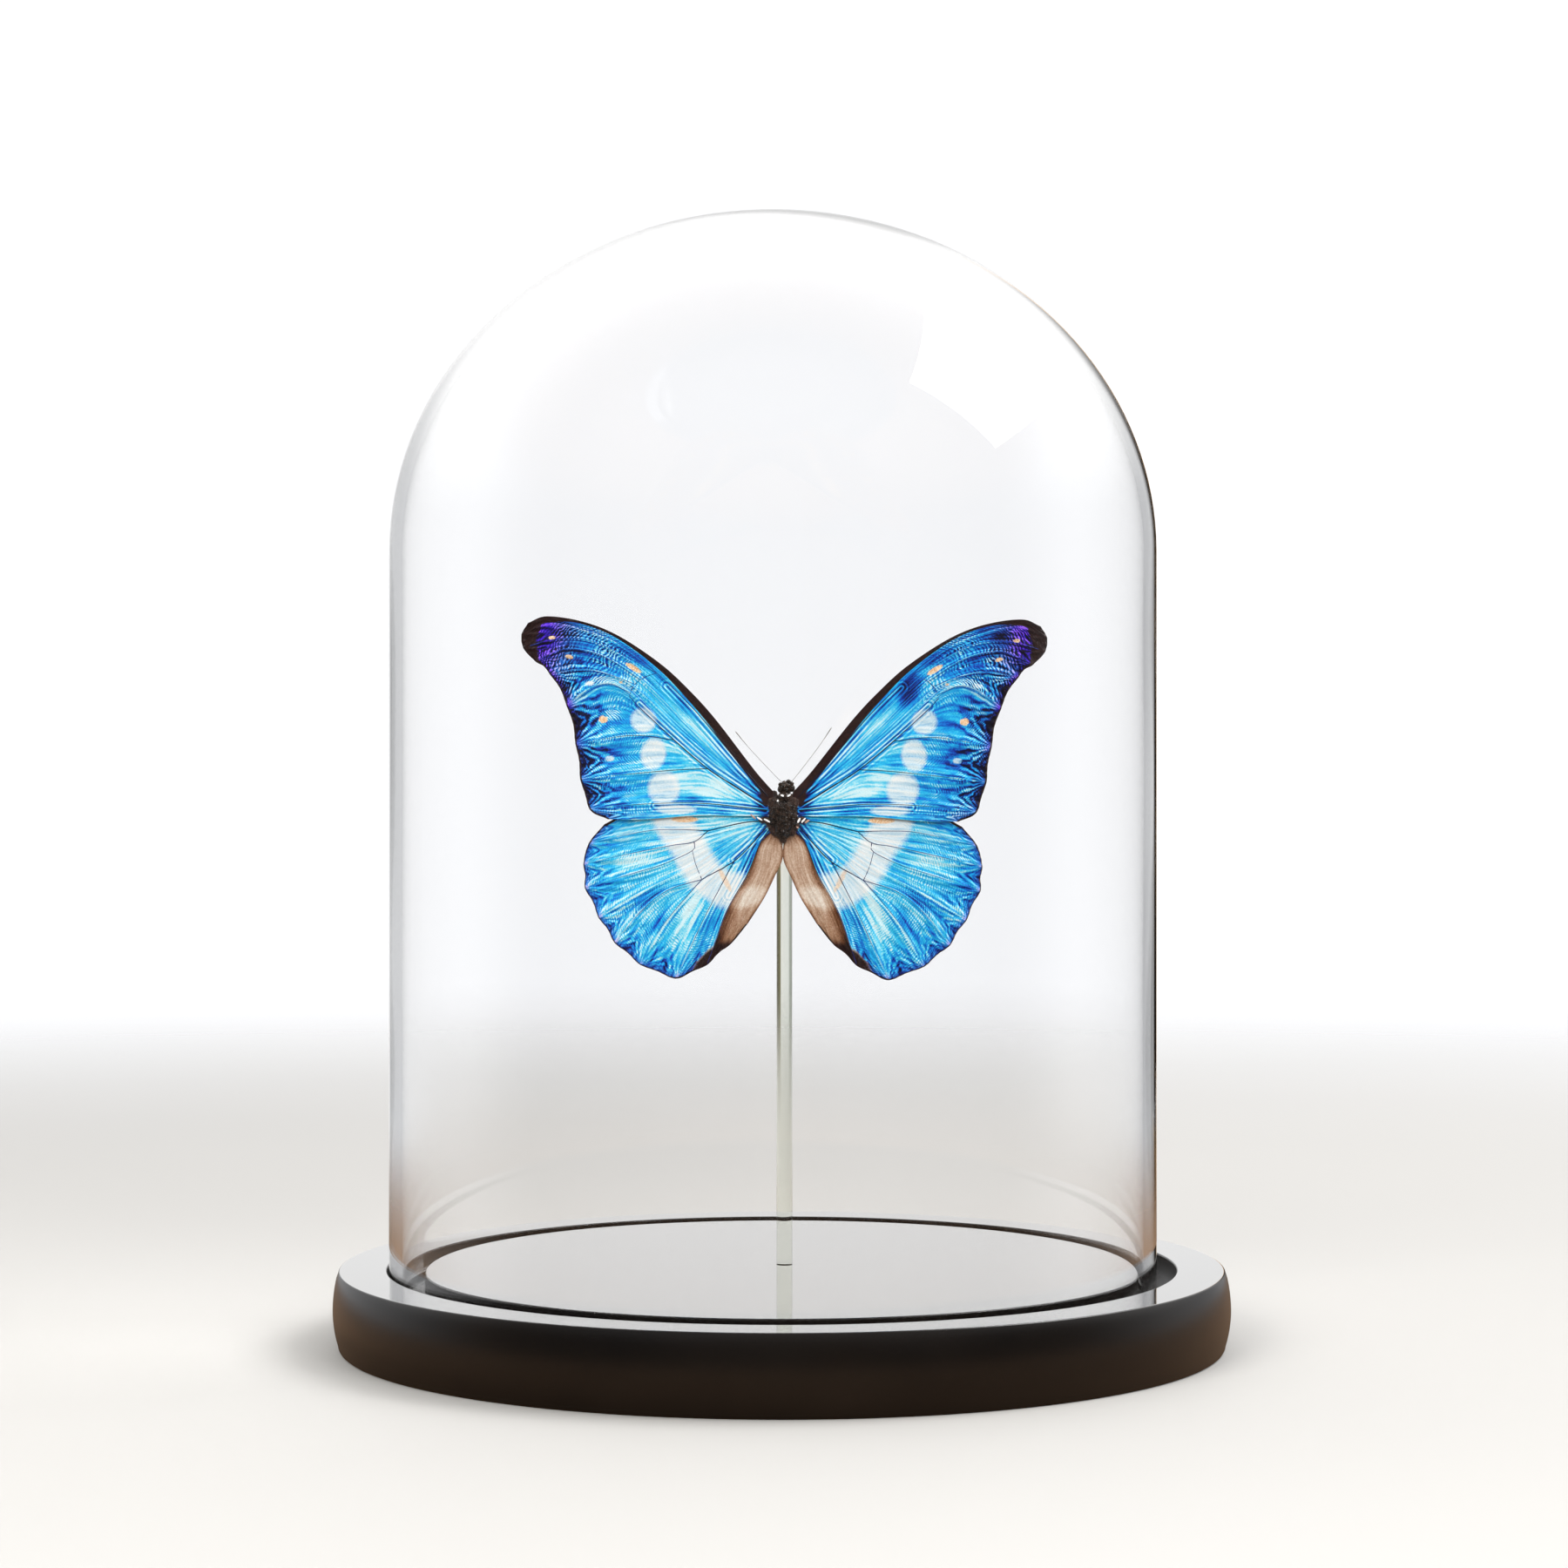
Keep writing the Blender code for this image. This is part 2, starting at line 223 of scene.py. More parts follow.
def wing_upperside(name, painted_light_offset):
    """The upper side of a Morpho wing: ridged scales that colour by interference.

    Azure with painted light in pale cyan on the fold crests and painted shade in navy in the
    pleats, painted light and dark lines beside the ribs, painted light and shade of the fans of
    folds from each rib's end, and rows of lifted scales; violet towards the tip; brown-black
    pigment at the border.
    """
    made, tree = new_material(name, IOR=1.56, Metallic=0.12)
    place = millimetres(tree)
    drawn = {
        key: add(tree, "Attribute", output=2, attribute_name=key)
        for key in (
            "glow", "fold_light_and_shade", "stripe", "ruffle", "violet", "border", "pale", "warm", "tan",
            "beside", "inward", "stem", "folding",
        )
    }
    fan = add(tree, "Attribute", output=1, attribute_name="fan")
    streaks = add(tree, "TexNoise", {"Vector": fan, "Scale": 1.0, "Detail": 3.0, "Roughness": 0.65})
    fine_fan = add(
        tree, "Mapping", {"Vector": fan, "Scale": (2.6, 0.9, 1.0), "Location": (7.0, 3.0, 5.0)},
    )
    hairs = add(tree, "TexNoise", {"Vector": fine_fan, "Scale": 1.0, "Detail": 2.0})
    grain = add(tree, "TexNoise", {"Vector": place, "Scale": 2.9, "Detail": 2.0, "Roughness": 0.7})
    cloud = add(tree, "TexNoise", {"Vector": place, "Scale": 0.16, "Detail": 2.0})
    wobble = add(tree, "TexNoise", {"Vector": place, "Scale": 0.55, "Detail": 2.0})

    # Rows of lifted scales: a real row is about 0.2 mm; drawn at 0.6 to 0.9 mm so that it shows.
    turned = add(tree, "Math", [wobble, 2.6, drawn["stripe"]], **TIMES_PLUS)
    turned = add(tree, "Math", [turned, TURN], **TIMES)
    rows = add(tree, "Math", [turned], operation="SINE")
    patches = add(tree, "MapRange", [cloud, 0.38, 0.6, 0.15])
    rows = add(tree, "Math", [rows, drawn["ruffle"]], **TIMES)
    rows = add(tree, "Math", [rows, patches], **TIMES)
    broken = add(tree, "MapRange", [hairs, 0.38, 0.6, 0.2, 1.5])
    rows = add(tree, "Math", [rows, broken], **TIMES)

    # Painted light and shade of the folds that fan out from each rib's end, with painted shade in
    # the wedges beside them; the folds also drive the bump.
    deep = add(tree, "Math", [drawn["inward"], 0.5], operation="ADD")
    lean = add(tree, "Math", [drawn["beside"], deep], operation="ARCTAN2")
    swung = add(tree, "Math", [wobble, 7.0], **TIMES)
    swung = add(tree, "Math", [lean, TURN / 0.27, swung], **TIMES_PLUS)
    folds = add(tree, "Math", [swung], operation="SINE")
    near = add(tree, "MapRange", [deep, 3.0, 15.0, 1.0, 0.0], **EASED)
    clear_of_tip = add(tree, "MapRange", [deep, 0.6, 2.6])
    near = add(tree, "Math", [near, drawn["folding"]], **TIMES)
    folds = add(tree, "Math", [folds, near], **TIMES)
    folds = add(tree, "Math", [folds, clear_of_tip], **TIMES)
    wedge_shade = add(tree, "MapRange", [lean, 0.45, 1.15], **EASED)
    wedge_shade = add(tree, "Math", [wedge_shade, near], **TIMES)

    # Painted light and dark lines of the corrugations that keep a rib company on both sides.
    paced = add(tree, "Math", [wobble, 2.4], **TIMES)
    paced = add(tree, "Math", [drawn["beside"], TURN / 1.0, paced], **TIMES_PLUS)
    lines = add(tree, "Math", [paced], operation="SINE")
    close = add(tree, "MapRange", [drawn["beside"], 0.0, 2.6, 1.0, 0.0])
    lines = add(tree, "Math", [lines, close], **TIMES)

    # Painted shade in the deep folds along the stems that close the cell, with lighter bands beside
    # it.
    groove_shade = add(tree, "Math", [drawn["stem"], TURN / 0.9], **TIMES)
    groove_shade = add(tree, "Math", [groove_shade], operation="COSINE")
    by_stem = add(tree, "MapRange", [drawn["stem"], 0.0, 2.4, 1.0, 0.0])
    groove_shade = add(tree, "Math", [groove_shade, by_stem], **TIMES)

    # The tone adds the painted fold light and shade, rows of scales, the painted light and shade
    # below, and the scales' own streaks, hairs, grain and cloud.
    tone = drawn["glow"]
    for signal, strength, middle in (
        (drawn["fold_light_and_shade"], 0.20, 0.0),
        (rows, 0.30, 0.0),
        (folds, 0.36, 0.0),
        (wedge_shade, -0.42, 0.0),
        (lines, 0.17, 0.0),
        (groove_shade, -0.42, 0.0),
        (streaks, 0.75, 0.5),
        (hairs, 1.15, 0.5),
        (grain, 0.55, 0.5),
        (cloud, 0.55, 0.5),
    ):
        centred = add(tree, "Math", [signal, middle], operation="SUBTRACT")
        tone = add(tree, "Math", [centred, strength, tone], **TIMES_PLUS)
    # A painted light offset: this copy of the blue is lighter for the left wings and darker for the
    # right.
    tone = add(tree, "Math", [tone, painted_light_offset], operation="ADD")

    blue = add(
        tree, "ValToRGB", [tone],
        stops=[
            (0.0, "#01052E"), (0.16, "#0430A4"), (0.32, "#026ED4"), (0.5, "#04A2E6"),
            (0.68, "#30C6F0"), (0.86, "#8EE2F6"), (1.0, "#D6F3F9"),
        ],
    )
    purple = add(
        tree, "ValToRGB", [tone],
        stops=[
            (0.0, "#05010F"), (0.22, "#12064E"), (0.46, "#2A0EAC"), (0.72, "#501CE2"),
            (1.0, "#A266FF"),
        ],
    )
    colour = add(tree, "Mix", [drawn["violet"], blue, purple], **COLOURS)
    speckle = add(tree, "MapRange", [grain, 0.3, 0.7])
    pearl = add(
        tree, "ValToRGB", [tone],
        stops=[(0.15, "#6FB4DC"), (0.42, "#C0DFEC"), (0.65, "#E0ECF1"), (1.0, "#F6F5F3")],
    )
    frayed = {}
    for key, sharp in (("pale", 0.3), ("warm", 0.15), ("tan", 0.15), ("border", 0.15)):
        loose = add(tree, "Math", [grain, 0.5], operation="SUBTRACT")
        rough_edge = add(tree, "Math", [loose, 0.6, drawn[key]], **TIMES_PLUS)
        frayed[key] = add(tree, "MapRange", [rough_edge, 0.5 - sharp, 0.5 + sharp])
    white = add(tree, "Math", [frayed["pale"], 0.93], **TIMES)
    colour = add(tree, "Mix", [white, colour, pearl], **COLOURS)
    amber = add(tree, "Mix", [speckle, linear("#E39A4A"), linear("#FFF0D6")], **COLOURS)
    colour = add(tree, "Mix", [frayed["warm"], colour, amber], **COLOURS)
    soft = drawn["glow"]
    for signal, strength in ((streaks, 0.5), (grain, 0.5), (hairs, 0.4)):
        centred = add(tree, "Math", [signal, 0.5], operation="SUBTRACT")
        soft = add(tree, "Math", [centred, strength, soft], **TIMES_PLUS)
    bare = add(
        tree, "ValToRGB", [soft],
        stops=[
            (0.0, "#2A1409"), (0.24, "#6E4226"), (0.46, "#A57E62"), (0.7, "#CDB29C"),
            (1.0, "#EEE6DA"),
        ],
    )
    colour = add(tree, "Mix", [frayed["tan"], colour, bare], **COLOURS)
    pigment = add(tree, "Mix", [speckle, linear("#0A0304"), linear("#361A15")], **COLOURS)
    colour = add(tree, "Mix", [frayed["border"], colour, pigment], **COLOURS)
    wire(tree, Base_Color=colour)

    rough = add(tree, "MapRange", [grain, 0.0, 1.0, 0.42, 0.62])
    wire(tree, Roughness=rough)
    lift = add(tree, "Math", [rows, 0.5, grain], **TIMES_PLUS)
    lift = add(tree, "Math", [folds, 0.5, lift], **TIMES_PLUS)
    normal = add(tree, "Bump", {"Strength": 0.6, "Distance": 0.14 * MM, "Height": lift})
    wire(tree, Normal=normal)
    return made


def wing_underside(name):
    """The underside of the wings: matt brown scales with ochre bands and ringed eyespots."""
    made, tree = new_material(name, Roughness=0.75, IOR=1.5)
    place = millimetres(tree)
    drawn = {
        key: add(tree, "Attribute", output=2, attribute_name=key)
        for key in ("reach", "ring", "pupil", "band", "border")
    }
    grain = add(tree, "TexNoise", {"Vector": place, "Scale": 2.6, "Detail": 3.0})
    streak = add(tree, "Attribute", output=1, attribute_name="fan")
    streaks = add(tree, "TexNoise", {"Vector": streak, "Scale": 1.0, "Detail": 3.0})
    mixed = add(tree, "Math", [grain, 0.5, streaks], **TIMES_PLUS)
    colour = add(
        tree, "ValToRGB", [mixed], stops=[(0.4, "#3A2415"), (0.75, "#6A4A2E"), (1.0, "#8C6A48")],
    )
    colour = add(tree, "Mix", [drawn["band"], colour, linear("#C7A878")], **COLOURS)
    colour = add(tree, "Mix", [drawn["ring"], colour, linear("#D9A64A")], **COLOURS)
    colour = add(tree, "Mix", [drawn["pupil"], colour, linear("#15100E")], **COLOURS)
    colour = add(tree, "Mix", [drawn["border"], colour, linear("#24140D")], **COLOURS)
    wire(tree, Base_Color=colour)
    normal = add(tree, "Bump", {"Strength": 0.35, "Distance": 0.1 * MM, "Height": grain})
    wire(tree, Normal=normal)
    return made


def wing_vein():
    """Veins: hollow chitin ribs, black-brown by the body and blue with scales further out."""
    made, tree = new_material("wing_vein", Roughness=0.45, IOR=1.56)
    out = add(tree, "Attribute", output=2, attribute_name="reach")
    colour = add(
        tree, "ValToRGB", [out],
        stops=[(0.0, "#08060E"), (0.4, "#07123E"), (0.75, "#0B3C9C"), (1.0, "#1B4FC4")],
    )
    wire(tree, Base_Color=colour)
    return made


# ---------------------------------------------------------------- shapes


def place_piece(name, mesh, finishes, stands_for):
    """Puts a mesh in the scene as a piece that rides on the frame's only body."""
    piece = bpy.data.objects.new(name, mesh)
    bpy.context.scene.collection.objects.link(piece)
    for finish in finishes:
        mesh.materials.append(finish)
    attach(piece, "root")
    if stands_for:
        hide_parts(stands_for)
    return piece


def painted_mesh(name, points, faces, slots=None, **values):
    """A smooth mesh in metres, with a finish number for each face and values for each point."""
    mesh = bpy.data.meshes.new(name)
    mesh.from_pydata(points.tolist(), [], faces)
    if slots is not None:
        mesh.polygons.foreach_set("material_index", np.array(slots, dtype=np.int32))
    for key, value in values.items():
        kind, field = ("FLOAT", "value") if value.ndim == 1 else ("FLOAT_VECTOR", "vector")
        layer = mesh.attributes.new(key, kind, "POINT")
        layer.data.foreach_set(field, value.astype(np.float32).ravel())
    mesh.shade_smooth()
    return mesh


def tube(line, radii, sides, flat=1.0):
    """Points, their numbers ring by ring, and wall faces of a tube along a line."""
    way = np.gradient(line, axis=0)
    way /= np.linalg.norm(way, axis=1)[:, None]
    out = np.cross(way, (0.0, 1.0, 0.0))
    out /= np.linalg.norm(out, axis=1)[:, None]
    up = np.cross(out, way)
    turns = np.arange(sides) * TURN / sides
    points = (
        line[:, None]
        + radii[:, None, None] * np.cos(turns)[None, :, None] * out[:, None]
        + radii[:, None, None] * flat * np.sin(turns)[None, :, None] * up[:, None]
    )
    ids = np.arange(len(line) * sides).reshape(len(line), sides)
    right = np.roll(ids, -1, 1)
    wall = np.stack([ids[:-1], right[:-1], right[1:], ids[1:]], -1).reshape(-1, 4)
    return points.reshape(-1, 3), ids, wall


def arc(centre, half_width, half_height, start, end, count):
    """Points on an ellipse from one angle to another, in degrees, both ends included."""
    made = []
    for i in range(count):
        angle = math.radians(start + (end - start) * i / (count - 1))
        aside, up = half_width * math.cos(angle), half_height * math.sin(angle)
        made.append((centre[0] + aside, centre[1] + up))
    return made


def turned_mesh(name, profile, steps, sharp_degrees=30.0):
    """A solid of revolution about Z; the profile runs down the outer side from axis to axis.

    A third number in a profile point shifts its ring sideways along X.
    """
    shape = bmesh.new()
    rings = []
    for radius, height, *shift in profile:
        middle = shift[0] if shift else 0.0
        if radius < 1e-7:
            rings.append([shape.verts.new((middle, 0.0, height))])
            continue
        rings.append(
            [
                shape.verts.new(
                    (
                        middle + radius * math.cos(TURN * k / steps),
                        radius * math.sin(TURN * k / steps), height,
                    )
                )
                for k in range(steps)
            ]
        )
    for upper, lower in zip(rings, rings[1:]):
        for k in range(steps):
            after = (k + 1) % steps
            if len(upper) == 1:
                shape.faces.new((upper[0], lower[k], lower[after]))
            elif len(lower) == 1:
                shape.faces.new((upper[k], lower[0], upper[after]))
            else:
                shape.faces.new((upper[k], lower[k], lower[after], upper[after]))
    mesh = bpy.data.meshes.new(name)
    shape.to_mesh(mesh)
    shape.free()
    mesh.shade_smooth()
    mesh.set_sharp_from_angle(angle=math.radians(sharp_degrees))
    return mesh


def make_base():
    """The turned base with its groove, crisp rim, bellied side and relieved underside edge."""
    rim = 103.8 * MM
    belly = (BASE_HIGH.x - BASE_LOW.x) / 2
    edge = 0.45 * MM
    inner, outer = 83.7 * MM, 92.5 * MM
    floor = BASE_TOP - 5.0 * MM
    hole = ROD_RADIUS + 0.04 * MM
    hole_floor = BASE_TOP - 6.0 * MM
    profile = [(0.0, hole_floor, ROD_X), (hole, hole_floor, ROD_X), (hole, BASE_TOP, ROD_X)]
    # A ring close beside each eased edge keeps the shading of the flats flat.
    beside = 0.12 * MM
    profile += [(40 * MM, BASE_TOP), (inner - edge - beside, BASE_TOP)]
    profile += arc((inner - edge, BASE_TOP - edge), edge, edge, 90, 0, 5)
    profile += [(inner, BASE_TOP - edge - beside), (inner, floor)]
    profile += [(outer, floor), (outer, BASE_TOP - edge - beside)]
    profile += arc((outer + edge, BASE_TOP - edge), edge, edge, 180, 90, 5)
    profile += [(outer + edge + beside, BASE_TOP), (rim - edge - beside, BASE_TOP)]
    profile += arc((rim - edge, BASE_TOP - edge), edge, edge, 90, 20, 5)
    belly_z = BASE_TOP - 9 * MM
    for i in range(1, 13):
        share = i / 12
        height = BASE_TOP - edge - share * (BASE_TOP - edge - 1.2 * MM)
        swell = 1 - ((height - belly_z) / (9.0 * MM)) ** 2 * (1.0 if height > belly_z else 1.25)
        profile.append((rim + (belly - rim) * swell, height))
    profile += arc((profile[-1][0] - 1.0 * MM, 1.1 * MM), 1.0 * MM, 1.1 * MM, 0, -90, 5)[1:]
    profile += [(0.0, 0.0)]
    mesh = turned_mesh("base_turned", profile, 192)
    return place_piece("turned_base", mesh, [black_lacquer()], "base")


def make_dome():
    """The blown dome: straight wall, elliptical crown, fire-rounded lip."""
    wall = 3.0 * MM
    crown = 80.0 * MM
    shoulder = DOME_HIGH.z - crown
    lip = wall / 2
    profile = arc((0.0, shoulder), DOME_RADIUS, crown, 90, 0, 40)
    profile[0] = (0.0, DOME_HIGH.z)
    # A ring close above the lip keeps the shading of the straight wall straight.
    above_lip = DOME_LOW.z + lip + 0.1 * MM
    profile += [(DOME_RADIUS, (shoulder + above_lip) / 2), (DOME_RADIUS, above_lip)]
    profile += arc((DOME_RADIUS - lip, DOME_LOW.z + lip), lip, lip, 0, -180, 13)
    profile += [(DOME_RADIUS - wall, above_lip), (DOME_RADIUS - wall, (shoulder + above_lip) / 2)]
    profile += arc((0.0, shoulder), DOME_RADIUS - wall, crown - wall, 0, 90, 40)
    profile[-1] = (0.0, DOME_HIGH.z - wall)
    mesh = turned_mesh("dome_blown", profile, 160, 60.0)
    mesh.transform(Matrix.Translation((DOME_X, 0.0, 0.0)))
    dome = place_piece("blown_dome", mesh, [dome_glass()], "glass_dome")
    dome.visible_shadow = False
    return dome


def make_rod():
    """The clear rod, both ends eased."""
    ease = 0.3 * MM
    beside = 0.08 * MM
    profile = [(0.0, ROD_HIGH.z), (ROD_RADIUS - ease - beside, ROD_HIGH.z)]
    profile += arc((ROD_RADIUS - ease, ROD_HIGH.z - ease), ease, ease, 90, 0, 4)
    profile += [(ROD_RADIUS, ROD_HIGH.z - ease - beside), (ROD_RADIUS, ROD_LOW.z + ease + beside)]
    profile += arc((ROD_RADIUS - ease, ROD_LOW.z + ease), ease, ease, 0, -90, 4)
    profile += [(ROD_RADIUS - ease - beside, ROD_LOW.z), (0.0, ROD_LOW.z)]
    mesh = turned_mesh("rod_drawn", profile, 48, 60.0)
    mesh.transform(Matrix.Translation((ROD_X, 0.0, 0.0)))
    finish = rod_acrylic()
    rod = place_piece("clear_rod", mesh, [finish], "rod")
    rod.visible_shadow = False
    make_glue(finish)


# ---------------------------------------------------------------- wings

# All wing points are in mm from the INSECT point: X away from the body, Y towards the head.
# Routes fan out from the body to the margin, one for each vein and edge, in order.
FOREWING_ROUTES = [
    [
        (2.2, 5.6), (6.8, 10.8), (15.7, 22.2), (21.7, 28.8), (28.8, 35.3), (38.7, 41.8),
        (47.1, 45.1), (55.6, 46.3), (60.0, 44.7),
    ],
    [
        (2.2, 4.8), (9.2, 11.2), (20.0, 23.6), (30.0, 33.4), (38.5, 39.6), (47.0, 43.0),
        (55.0, 44.4), (61.5, 42.0),
    ],
    [
        (2.2, 4.3), (9.8, 10.4), (20.6, 21.8), (30.6, 31.6), (37.5, 37.0), (45.5, 40.7),
        (53.5, 41.0), (61.0, 38.7),
    ],
    [
        (2.2, 3.8), (10.3, 9.5), (21.8, 20.2), (32.8, 31.0), (41.4, 36.6), (47.5, 38.5),
        (52.4, 38.4), (58.2, 35.7),
    ],
    [(2.2, 3.3), (10.8, 8.6), (22.8, 18.6), (34.4, 29.4), (41.0, 32.8), (47.5, 33.9), (54.8, 32.7)],
    [(2.2, 2.8), (11.2, 7.8), (23.8, 17.2), (35.6, 28.0), (41.0, 30.6), (45.7, 29.2), (50.8, 25.3)],
    [(2.2, 2.3), (11.6, 7.0), (25.7, 17.6), (35.9, 18.6), (48.7, 16.5)],
    [(2.2, 1.8), (11.0, 5.6), (18.2, 10.6), (25.7, 10.6), (36.0, 9.6), (47.5, 8.2)],
    [(2.2, 1.2), (19.0, 2.9), (33.0, 2.6), (45.3, 1.3)],
    [(2.3, 0.3), (9.0, 0.0), (20.0, 0.0), (33.0, -1.0), (41.0, -1.0)],
]
HINDWING_ROUTES = [
    [(2.3, -0.6), (9.0, 3.2), (22.0, 3.6), (34.0, 1.8), (41.9, -2.2)],
    [(2.3, -0.9), (9.5, -1.4), (17.5, -2.6), (24.7, -3.2), (32.0, -3.6), (45.4, -6.5)],
    [(2.3, -1.2), (9.8, -2.4), (19.5, -5.0), (26.0, -6.9), (35.0, -8.8), (46.7, -11.5)],
    [(2.25, -1.5), (10.0, -3.6), (20.8, -8.2), (28.0, -11.4), (36.0, -13.9), (46.3, -17.2)],
    [(2.2, -1.8), (10.0, -5.0), (20.4, -11.6), (31.0, -17.0), (43.1, -24.0)],
    [(2.15, -2.1), (9.8, -6.4), (19.6, -14.6), (27.0, -17.6), (33.2, -22.6), (39.2, -30.0)],
    [(2.1, -2.4), (9.3, -7.6), (19.0, -16.2), (26.0, -23.6), (33.2, -35.0)],
    [(2.05, -2.7), (8.4, -8.0), (11.8, -12.6), (18.0, -23.6), (24.8, -38.2)],
    [(2.0, -3.0), (5.4, -6.5), (8.4, -13.9), (13.3, -22.8), (17.6, -35.0)],
    [(1.9, -3.3), (3.9, -7.0), (5.2, -13.0), (8.6, -21.0), (12.0, -30.0)],
    [
        (1.4, -3.8), (0.6, -4.9), (0.1, -6.8), (0.12, -10.2), (1.9, -14.2), (4.3, -19.2),
        (8.0, -25.1),
    ],
]
FOREWING_NOTCH = 0.3
HINDWING_NOTCH = 0.5
# The margin is notched between these routes.
FOREWING_NOTCHED = (3, 8)
HINDWING_NOTCHED = (2, 9)

# Real veins: stems near the body and branches to the margin, with their half-width at each end.
FOREWING_VEINS = [
    ([(3.6, 4.6), (9.6, 11.4), (20.3, 24.0), (29.8, 33.2), (36.0, 38.2)], 0.17, 0.10),
    ([(36.0, 38.2), (42.0, 41.8), (50.0, 44.3)], 0.10, 0.07),
    ([(29.8, 33.2), (37.0, 37.0), (45.5, 40.7), (53.5, 41.0), (59.5, 39.4)], 0.11, 0.06),
    ([(3.8, 2.2), (11.4, 7.0), (17.7, 11.0), (25.7, 17.7), (33.9, 25.3), (36.1, 27.7)], 0.20, 0.13),
    ([(36.1, 27.7), (35.6, 29.6), (34.0, 31.4), (31.8, 32.6), (29.8, 33.2)], 0.13, 0.11),
    ([(33.6, 31.6), (41.4, 36.6), (47.5, 38.5), (52.4, 38.4), (57.6, 36.2)], 0.11, 0.06),
    ([(35.0, 30.6), (41.0, 32.8), (47.5, 33.9), (54.2, 32.8)], 0.11, 0.06),
    ([(36.1, 28.6), (41.0, 30.6), (45.7, 29.2), (50.3, 25.5)], 0.11, 0.06),
    ([(25.7, 17.7), (35.9, 18.6), (48.2, 16.5)], 0.13, 0.06),
    ([(17.7, 11.0), (25.7, 10.6), (36.0, 9.6), (47.0, 8.2)], 0.14, 0.06),
    ([(3.6, 1.4), (19.0, 2.9), (33.0, 2.6), (44.8, 1.3)], 0.17, 0.06),
]
HINDWING_VEINS = [
    ([(3.6, -1.0), (9.5, -1.6), (17.5, -3.5)], 0.17, 0.14),
    ([(17.5, -3.5), (24.7, -3.3), (32.0, -3.7), (45.0, -6.5)], 0.13, 0.06),
    ([(17.5, -3.5), (20.8, -6.1), (26.0, -7.0), (35.0, -8.8), (46.3, -11.5)], 0.13, 0.06),
    ([(20.8, -6.1), (21.2, -8.2), (28.0, -11.4), (36.0, -13.9), (45.9, -17.1)], 0.12, 0.06),
    ([(21.2, -8.2), (20.3, -11.6), (18.9, -14.9)], 0.11, 0.10),
    ([(3.6, -2.2), (7.0, -6.2), (11.4, -10.6), (18.9, -14.9)], 0.18, 0.14),
    ([(18.9, -14.9), (27.0, -17.6), (33.2, -22.6), (38.9, -29.7)], 0.13, 0.06),
    ([(18.9, -14.9), (25.0, -22.0), (29.6, -28.0), (33.0, -34.6)], 0.13, 0.06),
    ([(11.4, -10.6), (17.8, -23.0), (21.2, -30.4), (24.7, -37.7)], 0.14, 0.06),
    ([(3.3, -3.2), (5.4, -6.5), (8.4, -13.9), (13.3, -22.8), (17.4, -34.5)], 0.15, 0.07),
]


def smooth_line(points, count):
    """Count points, evenly spaced along a smooth curve through the given ones."""
    anchor = np.array(points, float)
    padded = np.vstack([2 * anchor[0] - anchor[1], anchor, 2 * anchor[-1] - anchor[-2]])
    fine = []
    for i in range(len(anchor) - 1):
        a, b, c, d = padded[i : i + 4]
        t = np.linspace(0, 1, 24, endpoint=False)[:, None]
        fine.append(
            0.5
            * (
                2 * b + (c - a) * t + (2 * a - 5 * b + 4 * c - d) * t**2
                + (3 * b - a - 3 * c + d) * t**3
            )
        )
    fine = np.vstack([*fine, anchor[-1:]])
    walked = np.concatenate([[0], np.cumsum(np.linalg.norm(np.diff(fine, axis=0), axis=1))])
    wanted = np.linspace(0, walked[-1], count)
    return np.stack([np.interp(wanted, walked, fine[:, k]) for k in range(anchor.shape[1])], 1)


def soft_step(value, low, high):
    """0 below low, 1 above high, smooth between."""
    t = np.clip((value - low) / (high - low), 0, 1)
    return t * t * (3 - 2 * t)


def blob(points, centre, size, degrees=0.0, soft=0.35):
    """A soft-edged oval spot: 1 inside, 0 outside."""
    angle = math.radians(degrees)
    dx, dy = points[..., 0] - centre[0], points[..., 1] - centre[1]
    along = (dx * math.cos(angle) + dy * math.sin(angle)) / (size[0] / 2)
    across = (-dx * math.sin(angle) + dy * math.cos(angle)) / (size[1] / 2)
    return 1 - soft_step(np.hypot(along, across), 1 - soft, 1 + soft)


def distance_to(points, line):
    """How far each point lies from a polyline."""
    best = np.full(points.shape[:-1], 1e9)
    for a, b in zip(line, line[1:]):
        run = b - a
        t = np.clip(((points - a) @ run) / max(run @ run, 1e-12), 0, 1)
        best = np.minimum(best, np.linalg.norm(points - a - t[..., None] * run, axis=-1))
    return best


